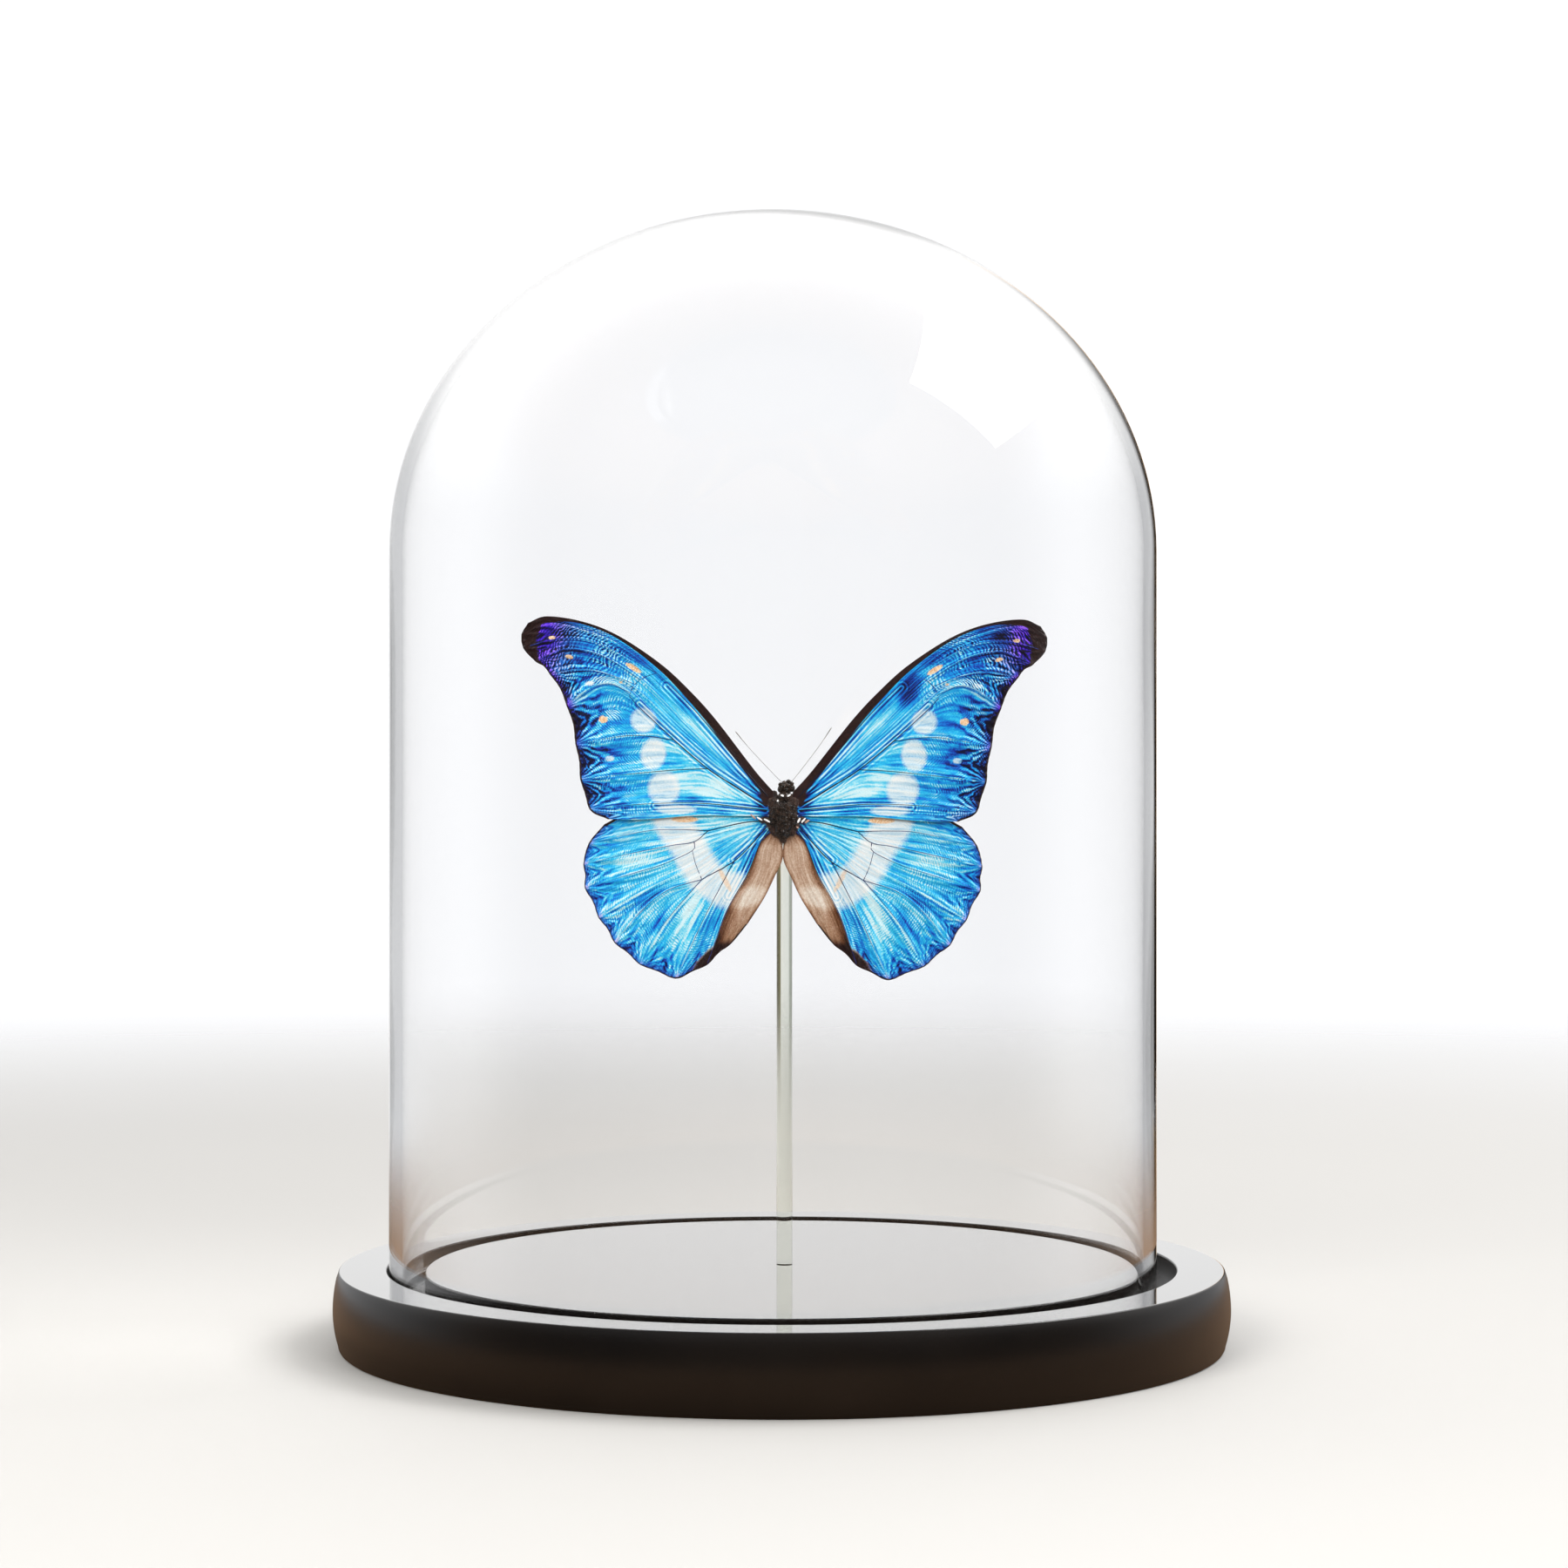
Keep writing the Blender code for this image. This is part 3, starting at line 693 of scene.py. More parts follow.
class WingPlan:
    """The flat plan of a wing: a grid of points with rows out from the body, columns across."""

    def __init__(self, routes, notch, notched, per_space, rows):
        lines = np.stack([smooth_line(route, rows) for route in routes])
        spaces = len(routes) - 1
        across = np.linspace(0, spaces, spaces * per_space + 1)
        index = np.minimum(across.astype(int), spaces - 1)
        t = (across - index)[:, None, None]
        before = lines[np.maximum(index - 1, 0)]
        start, end = lines[index], lines[index + 1]
        after = lines[np.minimum(index + 2, spaces)]
        before = np.where((index == 0)[:, None, None], 2 * start - end, before)
        after = np.where((index == spaces - 1)[:, None, None], 2 * end - start, after)
        self.points = 0.5 * (
            2 * start
            + (end - before) * t
            + (2 * before - 5 * start + 4 * end - after) * t**2
            + (3 * start - before - 3 * end + after) * t**3
        )
        self.across = np.repeat(across[:, None], rows, 1)
        self.part = self.across - np.minimum(np.floor(self.across), spaces - 1)
        self.reach = np.repeat(np.linspace(0, 1, rows)[None], len(across), 0)
        # The scalloped margin: a dip between one vein's end and the next.
        rim = self.points[:, -1]
        way = np.gradient(rim, axis=0)
        way /= np.linalg.norm(way, axis=1)[:, None]
        outward = np.stack([-way[:, 1], way[:, 0]], 1)
        dips = (across > notched[0]) & (across < notched[1])
        depth = notch * np.sin(math.pi * self.part[:, 0]) ** 2 * dips
        self.points -= outward[:, None] * depth[:, None, None] * (self.reach**5)[..., None]
        self.length = np.linalg.norm(np.diff(self.points, axis=1), axis=2).sum(1)[:, None]
        self.inward = (1 - self.reach) * self.length
        self.width = np.linalg.norm(end - start, axis=2)
        self.from_vein = (0.5 - np.abs(self.part - 0.5)) * self.width
        self.beside = (self.part - 0.5) * self.width
        self.from_front = distance_to(self.points, self.points[0, ::2])
        self.from_back = distance_to(self.points, self.points[-1, ::2])
        self.from_rim = distance_to(self.points, self.points[::3, -1])


def streak_noise(plan, seed, spread, stretch):
    """Streaks that follow the fan of the veins, from -1 to 1."""
    made = np.zeros_like(plan.across)
    for i in range(plan.across.shape[0]):
        for k in range(0, plan.across.shape[1]):
            made[i, k] = noise.noise(
                Vector((plan.across[i, k] * spread, plan.reach[i, k] * stretch, seed))
            )
    return made


def pleats(plan, seed):
    """Height of the membrane's folds in mm, and a signal for the colour: painted light on
    the crests and painted shade in the troughs.

    Near the margin the folds run in from each vein's end and part like a V; further in they
    lie along the veins.
    """
    bend = 8.0 * (1 - np.exp(-plan.inward / 8.0))
    lean = plan.from_vein / 1.75 - 0.30 * bend
    drift = 0.35 * streak_noise(plan, seed, 1.3, 4.0)
    folds = np.cos(TURN * (lean + drift))
    fade = np.exp(-plan.inward / 11.0) * soft_step(plan.width, 1.5, 4.0)
    trough = -np.sin(math.pi * plan.part) * soft_step(plan.reach, 0.25, 0.9)
    trough = trough * np.minimum(plan.width / 6.0, 1.0)
    ripple = streak_noise(plan, seed + 7.0, 4.0, 5.0)
    height = 0.26 * folds * fade + 0.55 * trough + 0.16 * ripple * soft_step(plan.reach, 0.05, 0.3)
    calm = soft_step(plan.from_back, 0.0, 6.0) * soft_step(plan.from_front, 0.0, 2.0)
    # The colour signal: painted light on the fold crests and painted shade in the troughs, with the
    # ripples.
    signal = 0.75 * folds * fade + 0.9 * (trough + 0.45) * soft_step(plan.reach, 0.4, 0.95)
    signal = signal + 0.5 * ripple
    return height * (0.25 + 0.75 * calm), signal


# A rib is a tube with six sides; each end is closed by these two halves.
RIB_SIDES = 6
HALVES = ((0, 1, 2, 3), (0, 3, 4, 5))


def membrane(name, plan, height, attributes, side, finishes, stands_for, veins, spread):
    """A thin closed sheet from the plan, folded by height, with its ribs laid on both faces."""
    box_low, box_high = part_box(stands_for)
    middle_y = (box_low.y + box_high.y) / 2
    half = 0.05
    columns, rows = plan.reach.shape
    angle = -side * math.radians(spread)
    turn = Matrix.Rotation(angle, 3, "Y")

    def world(points_mm, forward_mm):
        """Points on the wing in metres in the row frame; forward is towards the viewer."""
        flat = np.stack(
            [side * points_mm[..., 0], np.zeros(points_mm.shape[:-1]), points_mm[..., 1]], -1
        ).reshape(-1, 3)
        flat = flat @ np.array(turn).T
        flat[:, 1] = -np.ravel(forward_mm)
        return flat * MM + np.array((INSECT.x, middle_y, INSECT.z))

    front = world(plan.points, height + half)
    back = world(plan.points, height - half)
    points = np.vstack([front, back])
    count = columns * rows
    grid = np.arange(count).reshape(columns, rows)
    a, b, c, d = grid[:-1, :-1], grid[1:, :-1], grid[1:, 1:], grid[:-1, 1:]
    sheet = np.stack([a, b, c, d], -1).reshape(-1, 4)
    ring = np.concatenate([grid[:, 0][:-1], grid[-1, :-1], grid[::-1, -1][:-1], grid[0, ::-1][:-1]])
    after = np.roll(ring, -1)
    edge = np.stack([ring, ring + count, after + count, after], -1)
    if side > 0:
        front_faces, back_faces, edge_faces = sheet[:, ::-1], sheet + count, edge[:, ::-1]
    else:
        front_faces, back_faces, edge_faces = sheet, (sheet + count)[:, ::-1], edge
    faces = np.vstack([front_faces, back_faces, edge_faces])
    slots = np.concatenate(
        [np.zeros(len(sheet), int), np.ones(len(sheet), int), np.ones(len(edge), int)]
    )
    values = {key: np.concatenate([np.ravel(v), np.ravel(v)]) for key, v in attributes.items()}
    fan = np.stack(
        [plan.across * 4.0, plan.reach * 4.5, np.zeros_like(plan.reach)], -1,
    ).reshape(-1, 3)
    fan = np.vstack([fan, fan])

    # Ribs: fine tubes along each vein, half sunk in the folded sheet.
    surface = BVHTree.FromPolygons([Vector(p) for p in front], front_faces.tolist())
    for route, thick, thin in veins:
        line = smooth_line(
            route, max(8, int(np.linalg.norm(np.diff(route, axis=0), axis=1).sum() / 0.7)),
        )
        flat = world(line, np.zeros(len(line)))
        lifted = []
        for spot in flat:
            hit = surface.ray_cast(Vector((spot[0], -1.0, spot[2])), Vector((0.0, 1.0, 0.0)))
            lifted.append((spot[0], hit[0].y + half * MM if hit[0] else middle_y, spot[2]))
        radii = np.linspace(thick, thin, len(line)) * MM
        rib, ids, wall = tube(np.array(lifted), radii, RIB_SIDES, 0.9)
        caps = [[loop[i] for i in quad] for loop in (ids[0][::-1], ids[-1]) for quad in HALVES]
        faces = np.vstack([faces, wall + len(points), np.array(caps) + len(points)])
        points = np.vstack([points, rib])
        slots = np.concatenate([slots, np.full(len(wall) + len(caps), 2)])
        far = np.linalg.norm(line, axis=1) / np.linalg.norm(plan.points, axis=2).max()
        for key in values:
            fill = np.repeat(far, RIB_SIDES) if key == "reach" else np.zeros(len(rib))
            values[key] = np.concatenate([values[key], fill])
        fan = np.vstack([fan, np.zeros((len(rib), 3))])

    mesh = painted_mesh(name, points, faces.tolist(), slots, **values, fan=fan)
    return place_piece(name, mesh, finishes, stands_for)


# Where the membrane folds deepest, beside the stems.
FOREWING_STEMS = [
    [(3.8, 2.4), (11.4, 7.4), (17.7, 11.6), (25.7, 18.5), (33.9, 26.0)],
    [(3.6, 4.4), (9.6, 10.6), (20.3, 22.8), (27.5, 30.2)],
    [(4.0, 1.2), (19.0, 2.5), (30.0, 2.3)],
]
HINDWING_STEMS = [
    [(4.0, -3.3), (6.4, -6.4), (9.4, -12.6), (12.6, -18.8)],
    [(4.0, -2.2), (7.2, -6.0), (11.4, -10.2)],
]


def stem_distance(plan, stems):
    """How far each point lies from the nearest stem fold, in mm."""
    return np.min([distance_to(plan.points, smooth_line(stem, 30)) for stem in stems], axis=0)


def forewing_marks(plan):
    """What each place on a forewing's upper side carries, from 0 to 1."""
    p = plan.points
    spots = [
        ((32.9, 22.2), (5.8, 5.6), 20.0),
        ((30.5, 14.4), (5.8, 7.2), 10.0),
        ((27.9, 6.4), (7.4, 7.6), 0.0),
        ((45.4, 30.7), (2.3, 1.1), 0.0),
        ((40.7, 13.2), (2.1, 1.3), 0.0),
        ((25.0, 1.4), (9.0, 2.2), 0.0),
    ]
    pale = np.max([blob(p, *spot) for spot in spots], axis=0)
    warm_spots = [
        ((54.4, 41.3), (1.7, 0.9), 0.0),
        ((50.3, 36.9), (1.9, 0.9), 15.0),
        ((42.3, 22.3), (2.2, 1.6), 0.0),
        ((35.3, 34.4), (4.2, 1.2), 31.0),
        ((38.2, 31.0), (0.8, 0.6), 0.0),
    ]
    warm = np.max([blob(p, *spot) for spot in warm_spots], axis=0)
    to_tip = np.linalg.norm(p - (61.0, 42.0), axis=-1)
    violet = np.maximum(
        1 - soft_step(to_tip, 6.0, 16.0),
        (1 - soft_step(plan.from_rim, 0.4, 3.0)) * (0.45 + 0.55 * soft_step(p[..., 1], 4.0, 26.0)),
    )
    costal = 2.1 - 1.5 * soft_step(p[..., 0], 14.0, 44.0) + 1.3 * soft_step(p[..., 0], 48.0, 60.0)
    tip = 3.2 * soft_step(-to_tip, -9.0, -2.5)
    rim = 0.35 + tip * soft_step(p[..., 1], 30.0, 41.0)
    border = np.maximum(
        1 - soft_step(plan.from_front, costal - 0.25, costal + 0.25),
        1 - soft_step(plan.from_rim, rim - 0.25, rim + 0.35),
    )
    by_body = (1 - soft_step(plan.reach, 0.035, 0.085)) * soft_step(p[..., 1], 1.4, 3.4)
    border = np.maximum(border, by_body)
    out = plan.reach
    glow = 0.60 - 0.16 * soft_step(out, 0.6, 0.95) - 0.14 * soft_step(p[..., 1], 28.0, 40.0)
    # Lighter and darker patches of the blue: partly the wing's own uneven tone, partly painted
    # sheen and painted shade; the bright one at the tip of the costa is a painted sheen.
    for x, y, long, wide, degrees, gain in (
        (17.0, 6.6, 20.0, 5.0, 14.0, 0.34),
        (23.5, 14.5, 9.0, 5.0, 30.0, 0.14),
        (21.0, 21.5, 22.0, 2.2, 46.0, 0.16),
        (12.5, 16.5, 20.0, 1.6, 52.0, 0.14),
        (25.5, 27.5, 12.0, 3.4, 45.0, -0.18),
        (39.0, 31.4, 8.0, 2.0, 0.0, 0.22),
        (9.5, 8.2, 12.0, 1.5, 42.0, -0.30),
        (36.5, 37.6, 9.0, 2.2, 30.0, -0.22),
        (55.5, 44.3, 8.0, 1.3, 10.0, 0.45),
        (51.5, 42.4, 6.0, 1.8, 12.0, -0.35),
    ):
        glow += gain * blob(p, (x, y), (long, wide), degrees, 0.6)
    glow -= 0.5 * (1 - soft_step(out, 0.04, 0.13))
    upper = soft_step(-plan.across, -5.2, -4.6)
    ruffle = soft_step(out, 0.5, 0.8) * (0.75 + 1.0 * upper)
    slant = upper * 1.15 * plan.beside + (1 - upper) * 0.8 * plan.from_vein
    stripe = (plan.inward + slant) / (0.62 + 0.3 * upper)
    return {
        "glow": glow,
        "stripe": stripe,
        "ruffle": ruffle,
        "violet": violet,
        "border": border,
        "pale": pale,
        "warm": warm,
        "tan": np.zeros_like(out),
        "reach": out,
        "beside": plan.from_vein,
        "inward": plan.inward,
        "stem": stem_distance(plan, FOREWING_STEMS),
        "folding": np.ones_like(out),
        **under_marks(plan, [(42.0, 21.5, 3.4), (40.5, 13.0, 4.2), (46.0, 31.5, 3.0)], 0.62),
    }


def hindwing_marks(plan):
    """What each place on a hindwing's upper side carries, from 0 to 1."""
    p = plan.points
    band = smooth_line(
        [
            (27.0, 2.0), (25.5, -2.4), (22.6, -6.4), (20.4, -10.6), (17.6, -14.4), (13.4, -17.2),
            (10.6, -17.6),
        ],
        40,
    )
    pale = 0.9 * (1 - soft_step(distance_to(p, band), 2.6, 6.0))
    pink = blob(p, (23.0, -0.9), (6.4, 1.4), 0.0)
    rust = blob(p, (13.5, -15.0), (1.6, 7.5), -28.0)
    warm = np.maximum(pink, 0.55 * rust)
    tan_side = soft_step(plan.across, 7.9, 8.15)
    low = soft_step(-p[..., 1], 28.0, 33.0) * soft_step(plan.across, 7.2, 7.9)
    tan = np.maximum(tan_side, low * (1 - soft_step(plan.from_rim, 1.5, 3.5)))
    out = plan.reach
    to_tail = soft_step(-p[..., 1], 26.0, 33.0)
    border = np.maximum(
        1 - soft_step(plan.from_rim, 0.15, 0.5),
        np.maximum(tan_side, low) * to_tail * (1 - soft_step(plan.from_rim, 1.2, 3.6)),
    )
    border = np.maximum(border, (1 - soft_step(out, 0.02, 0.05)) * soft_step(-p[..., 1], 2.6, 3.6))
    border = np.maximum(
        border, (1 - soft_step(plan.from_front, 0.3, 0.9)) * soft_step(p[..., 0], 36.0, 40.0),
    )
    violet = 0.6 * (1 - soft_step(plan.from_rim, 0.2, 1.8))
    glow = 0.7 - 0.08 * soft_step(out, 0.7, 0.97)
    # Lighter and darker patches of the blue: partly the wing's own uneven tone, partly painted
    # sheen and painted shade.
    for x, y, long, wide, degrees, gain in (
        (32.0, -19.8, 10.0, 2.6, -40.0, -0.34),
        (29.8, -25.8, 9.0, 2.2, -50.0, -0.28),
        (43.5, -16.0, 4.5, 1.8, -30.0, -0.25),
        (17.1, -27.2, 14.0, 3.4, -68.0, -0.22),
        (22.0, -24.0, 16.0, 3.6, -66.0, 0.26),
        (34.0, -10.6, 18.0, 2.4, -14.0, 0.2),
        (15.0, -4.2, 18.0, 3.0, -14.0, 0.1),
    ):
        glow += gain * blob(p, (x, y), (long, wide), degrees, 0.6)
    by_fold = 1 - soft_step(np.abs(plan.across - 7.75), 0.15, 0.6)
    glow -= 0.28 * by_fold * (1 - soft_step(out, 0.3, 0.45))
    glow -= 0.45 * (1 - soft_step(out, 0.04, 0.15))
    light_bar = blob(p, (8.6, -19.0), (9.0, 4.6), -20.0)
    fold = 0.25 + 0.36 * soft_step(plan.across, 8.05, 8.7) + 0.24 * light_bar
    fold = fold - 0.12 * soft_step(-p[..., 1], 20.0, 24.0) - 0.3 * to_tail
    by_body = 1 - soft_step(-p[..., 1], 4.5, 7.5)
    fold -= 0.34 * (1 - soft_step(plan.from_back, 0.0, 0.7)) + 0.25 * by_body
    glow = np.where(plan.across > 8.0, fold, glow)
    ruffle = 0.6 * soft_step(out, 0.42, 0.7) * (1 - tan_side)
    stripe = (plan.inward + 0.35 * plan.beside) / 0.62
    return {
        "glow": glow,
        "stripe": stripe,
        "ruffle": ruffle,
        "violet": violet,
        "border": border,
        "pale": pale * (1 - tan_side),
        "warm": warm * (1 - tan_side),
        "tan": tan,
        "reach": out,
        "beside": plan.from_vein,
        "inward": plan.inward,
        "stem": stem_distance(plan, HINDWING_STEMS),
        "folding": np.full_like(out, 0.55) * (1 - tan_side),
        **under_marks(
            plan, [(36.0, -7.5, 5.0), (34.0, -17.5, 4.4), (29.5, -24.5, 4.0), (20.0, -27.0, 5.4)],
            0.6,
        ),
    }


def under_marks(plan, eyes, band_at):
    """Rings, pupils and a pale band for the underside."""
    p = plan.points
    ring = np.zeros_like(plan.reach)
    pupil = np.zeros_like(plan.reach)
    for x, y, size in eyes:
        off = np.hypot(p[..., 0] - x, p[..., 1] - y)
        ring = np.maximum(ring, 1 - soft_step(off, size * 0.5 - 0.2, size * 0.5 + 0.2))
        core = (1 - soft_step(off, size * 0.34 - 0.2, size * 0.34 + 0.2)) * soft_step(off, 0.2, 0.5)
        pupil = np.maximum(pupil, core)
    band = 0.8 * np.exp(-(((plan.reach - band_at + 0.22) / 0.05) ** 2))
    band += 0.7 * np.exp(-(((plan.inward - 2.6) / 0.45) ** 2))
    return {"ring": ring, "pupil": pupil, "band": np.clip(band, 0, 1)}


def make_wings():
    """All four wings."""
    vein = wing_vein()
    under = wing_underside("wing_underside")
    fore_grid, hind_grid = (((22, 130), (20, 110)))
    fore = WingPlan(FOREWING_ROUTES, FOREWING_NOTCH, FOREWING_NOTCHED, *fore_grid)
    hind = WingPlan(HINDWING_ROUTES, HINDWING_NOTCH, HINDWING_NOTCHED, *hind_grid)
    # The left wings' blue is painted a little lighter and the right wings' a little darker: painted
    # light and painted shade.
    for side, label, spread, shift in ((-1, "left", 0.45, 0.03), (1, "right", -0.35, -0.02)):
        upper = wing_upperside(f"morpho_blue_{label}", shift)
        for kind, plan, marks, veins, seed in (
            ("forewing", fore, forewing_marks(fore), FOREWING_VEINS, 3.0),
            ("hindwing", hind, hindwing_marks(hind), HINDWING_VEINS, 11.0),
        ):
            height, signal = pleats(plan, seed + side)
            # The folds' painted light and shade goes into the colour.
            marks["fold_light_and_shade"] = signal
            if kind == "forewing" and side > 0:
                # The right forewing is painted darker over the end of its cell.
                marks["glow"] = marks["glow"] - 0.42 * blob(
                    plan.points, (29.6, 29.6), (8.5, 4.6), 60.0, 0.5,
                )
            membrane(
                f"{kind}_{label}_membrane", plan, height, marks, side, [upper, under, vein],
                f"{kind}_{label}", veins, spread,
            )


# ---------------------------------------------------------------- body


def hair_mesh(roots, directions, lengths, width, seed):
    """Fine tapering hairs as three-sided spikes; returns points, faces and shades."""
    chance = np.random.default_rng(seed)
    count = len(roots)
    points = np.zeros((count, 4, 3))
    side = np.cross(directions, chance.normal(size=(count, 3)))
    side /= np.linalg.norm(side, axis=1)[:, None]
    other = np.cross(directions, side)
    for k in range(3):
        angle = TURN * k / 3
        points[:, k] = roots + width * (math.cos(angle) * side + math.sin(angle) * other)
    points[:, 3] = roots + directions * lengths[:, None]
    first = 4 * np.arange(count)[:, None]
    spike = ((0, 1, 3), (1, 2, 3), (2, 0, 3), (2, 1, 0))
    faces = np.concatenate([first + np.array(f) for f in spike])
    return points.reshape(-1, 3), faces, np.repeat(chance.random(count), 4)


def lumps_mesh(name, lumps, voxel):
    """One skin over a group of ovals, each (middle, half-sizes) in mm."""
    shape = bmesh.new()
    for middle, half in lumps:
        place = Matrix.Translation(middle) @ Matrix.Diagonal((*half, 1.0))
        steps = 28 if max(half) > 0.9 else 12
        bmesh.ops.create_uvsphere(
            shape, u_segments=steps, v_segments=steps * 2 // 3, radius=1.0, matrix=place,
        )
    mesh = bpy.data.meshes.new(name)
    shape.to_mesh(mesh)
    shape.free()
    holder = bpy.data.objects.new(name, mesh)
    bpy.context.scene.collection.objects.link(holder)
    skin = holder.modifiers.new("One skin", "REMESH")
    skin.mode = "VOXEL"
    skin.voxel_size = voxel
    seen = holder.evaluated_get(bpy.context.evaluated_depsgraph_get())
    made = bpy.data.meshes.new_from_object(seen)
    bpy.data.objects.remove(holder)
    return made


def ovals(middle, rows):
    """Lumps about a middle point, from rows of three offsets and three half-sizes in mm."""
    return [(middle + Vector(row[:3]), Vector(row[3:])) for row in rows]


def roughened(mesh, seed, coarse, fine):
    """Moves each point of a mesh in mm along its normal by two sizes of noise."""
    normals = [v.normal.copy() for v in mesh.vertices]
    for v, normal in zip(mesh.vertices, normals):
        shift = Vector((seed, 0.0, 0.0))
        v.co += normal * (
            coarse * noise.noise(v.co * 0.9 + shift) + fine * noise.noise(v.co * 3.3 + shift)
        )
    mesh.update()


def furry(name, skin, seed, count, length_mm, lean, skin_finish, hair_finish, stands_for):
    """A body part: its skin in mm made metres and given hairs that lean along the body."""
    chance = np.random.default_rng(seed)
    corners = np.array([v.co for v in skin.vertices])
    skin_faces = [list(p.vertices) for p in skin.polygons]
    areas = np.array([p.area for p in skin.polygons])
    picked = chance.choice(len(areas), size=count, p=areas / areas.sum())
    centres = np.array([skin.polygons[i].center for i in picked])
    normals = np.array([skin.polygons[i].normal for i in picked])
    centres += chance.normal(size=(count, 3)) * 0.05
    way = normals * 0.75 + np.array(lean) + chance.normal(size=(count, 3)) * 0.28
    way /= np.linalg.norm(way, axis=1)[:, None]
    lengths = length_mm * (0.5 + chance.random(count))
    hair_points, hair_faces, shades = hair_mesh(centres, way, lengths, 0.028, seed)
    points = np.vstack([corners, hair_points]) * MM
    faces = skin_faces + (hair_faces + len(corners)).tolist()
    slots = [0] * len(skin_faces) + [1] * len(hair_faces)
    shade = np.concatenate([np.zeros(len(corners)), shades])
    mesh = painted_mesh(name, points, faces, slots, shade=shade)
    return place_piece(name, mesh, [skin_finish, hair_finish], stands_for)


def make_body():
    """Thorax and head with their lobes, eyes, palps, hair and white tufts."""
    cuticle = body_cuticle("black_cuticle", "#040302", "#3A2B22", 0.12, 0.3)
    dark_hair = body_hair("dark_brown_hair", "#0E0907", "#6B584A")
    shoulder_skin = body_cuticle("brown_cuticle", "#1A0F0B", "#4A3228", 0.45, 0.3)
    brown_hair = body_hair("brown_hair", "#2C1A13", "#9A7C68")
    middle = THORAX_MIDDLE / MM
    size = (THORAX_HIGH - THORAX_LOW) / MM / 2
    rows = [
        (0.0, 1.5, 0.6, 1.3, 2.1, 2.4),
        (0.0, -1.7, -0.9, 1.5, 1.3, 2.6),
        (0.0, -1.2, -3.8, 1.4, 1.2, 1.4),
        (0.3, -0.4, 4.9, 1.5, 1.4, 1.4),
    ]
    for side in (-1.0, 1.0):
        rows += [
            (side * 1.35, -1.2, 2.0, 1.15, 1.5, 2.1),
            (side * 2.5, -1.2, 0.6, 0.9, 0.8, 2.6),
        ]
    # Small beads of cuticle in rows down the middle and along the flanks.
    chance = np.random.default_rng(17)
    for _ in range(52):
        along = 4.2 - 8.6 * chance.random()
        aside = chance.choice((-2.3, -1.2, -0.2, 0.5, 1.3, 2.3)) * (1.0 if along > -2.5 else 0.6)
        lift = -3.0 + 0.32 * abs(aside)
        bead = 0.34 + 0.2 * chance.random()
        rows.append((aside + 0.25 * (chance.random() - 0.5), lift, along, bead, bead, bead))
    lumps = [(middle + Vector((0.0, 0.0, -0.2)), size * 0.9), *ovals(middle, rows)]
    skin = lumps_mesh("thorax_skin", lumps, 0.12)
    roughened(skin, 5.0, 0.12, 0.12)
    furry(
        "thorax_fur", skin, 21, 1700, 0.36, (0.0, 0.4, -1.2), cuticle, dark_hair, "thorax",
    )

    rows = []
    for side in (-1.0, 1.0):
        rows += [
            (side * 2.4, -0.9, 3.4, 1.3, 0.8, 1.6),
            (side * 2.1, -0.1, 4.7, 1.2, 0.8, 1.0),
            (side * 2.8, -0.7, -1.2, 1.1, 0.8, 1.7),
            (side * 4.2, -0.9, -0.5, 1.6, 0.5, 0.7),
            (side * 2.0, -0.6, -3.1, 1.0, 0.7, 1.2),
        ]
    rows += [(-2.2, 0.2, 5.7, 0.75, 0.6, 0.75), (0.0, -0.5, -4.7, 0.9, 0.6, 1.2)]
    skin = lumps_mesh("shoulder_skin", ovals(middle, rows), 0.12)
    roughened(skin, 3.0, 0.15, 0.12)
    furry(
        "shoulder_fur", skin, 27, 2200, 0.5, (0.0, 0.4, -1.2), shoulder_skin, brown_hair, None,
    )

    middle = HEAD_MIDDLE / MM
    size = (HEAD_HIGH - HEAD_LOW) / MM / 2
    rows = [
        (0.0, 0.0, 0.0, size.x * 0.7, size.y * 0.9, size.z * 0.72),
        (-1.3, -0.3, -0.55, 0.72, 0.85, 0.85),
        (1.35, -0.3, -0.35, 0.75, 0.85, 0.9),
        (0.55, -0.5, 1.15, 0.62, 0.62, 0.62),
        (-0.45, -0.6, 0.95, 0.52, 0.55, 0.52),
        (-1.35, -0.6, 0.55, 0.5, 0.5, 0.5),
        (1.35, -0.6, 0.75, 0.5, 0.5, 0.48),
        (-0.55, -1.35, 0.1, 0.46, 0.46, 0.46),
        (0.4, -1.4, 0.3, 0.5, 0.46, 0.46),
        (0.05, -1.25, -0.65, 0.5, 0.45, 0.45),
        (0.0, 0.3, -1.2, 1.1, 1.0, 0.8),
    ]
    skin = lumps_mesh("head_skin", ovals(middle, rows), 0.09)
    roughened(skin, 9.0, 0.05, 0.05)
    furry(
        "head_and_eyes", skin, 33, 160, 0.25, (0.0, 0.1, 0.5), cuticle, dark_hair, "head",
    )
    make_tufts()


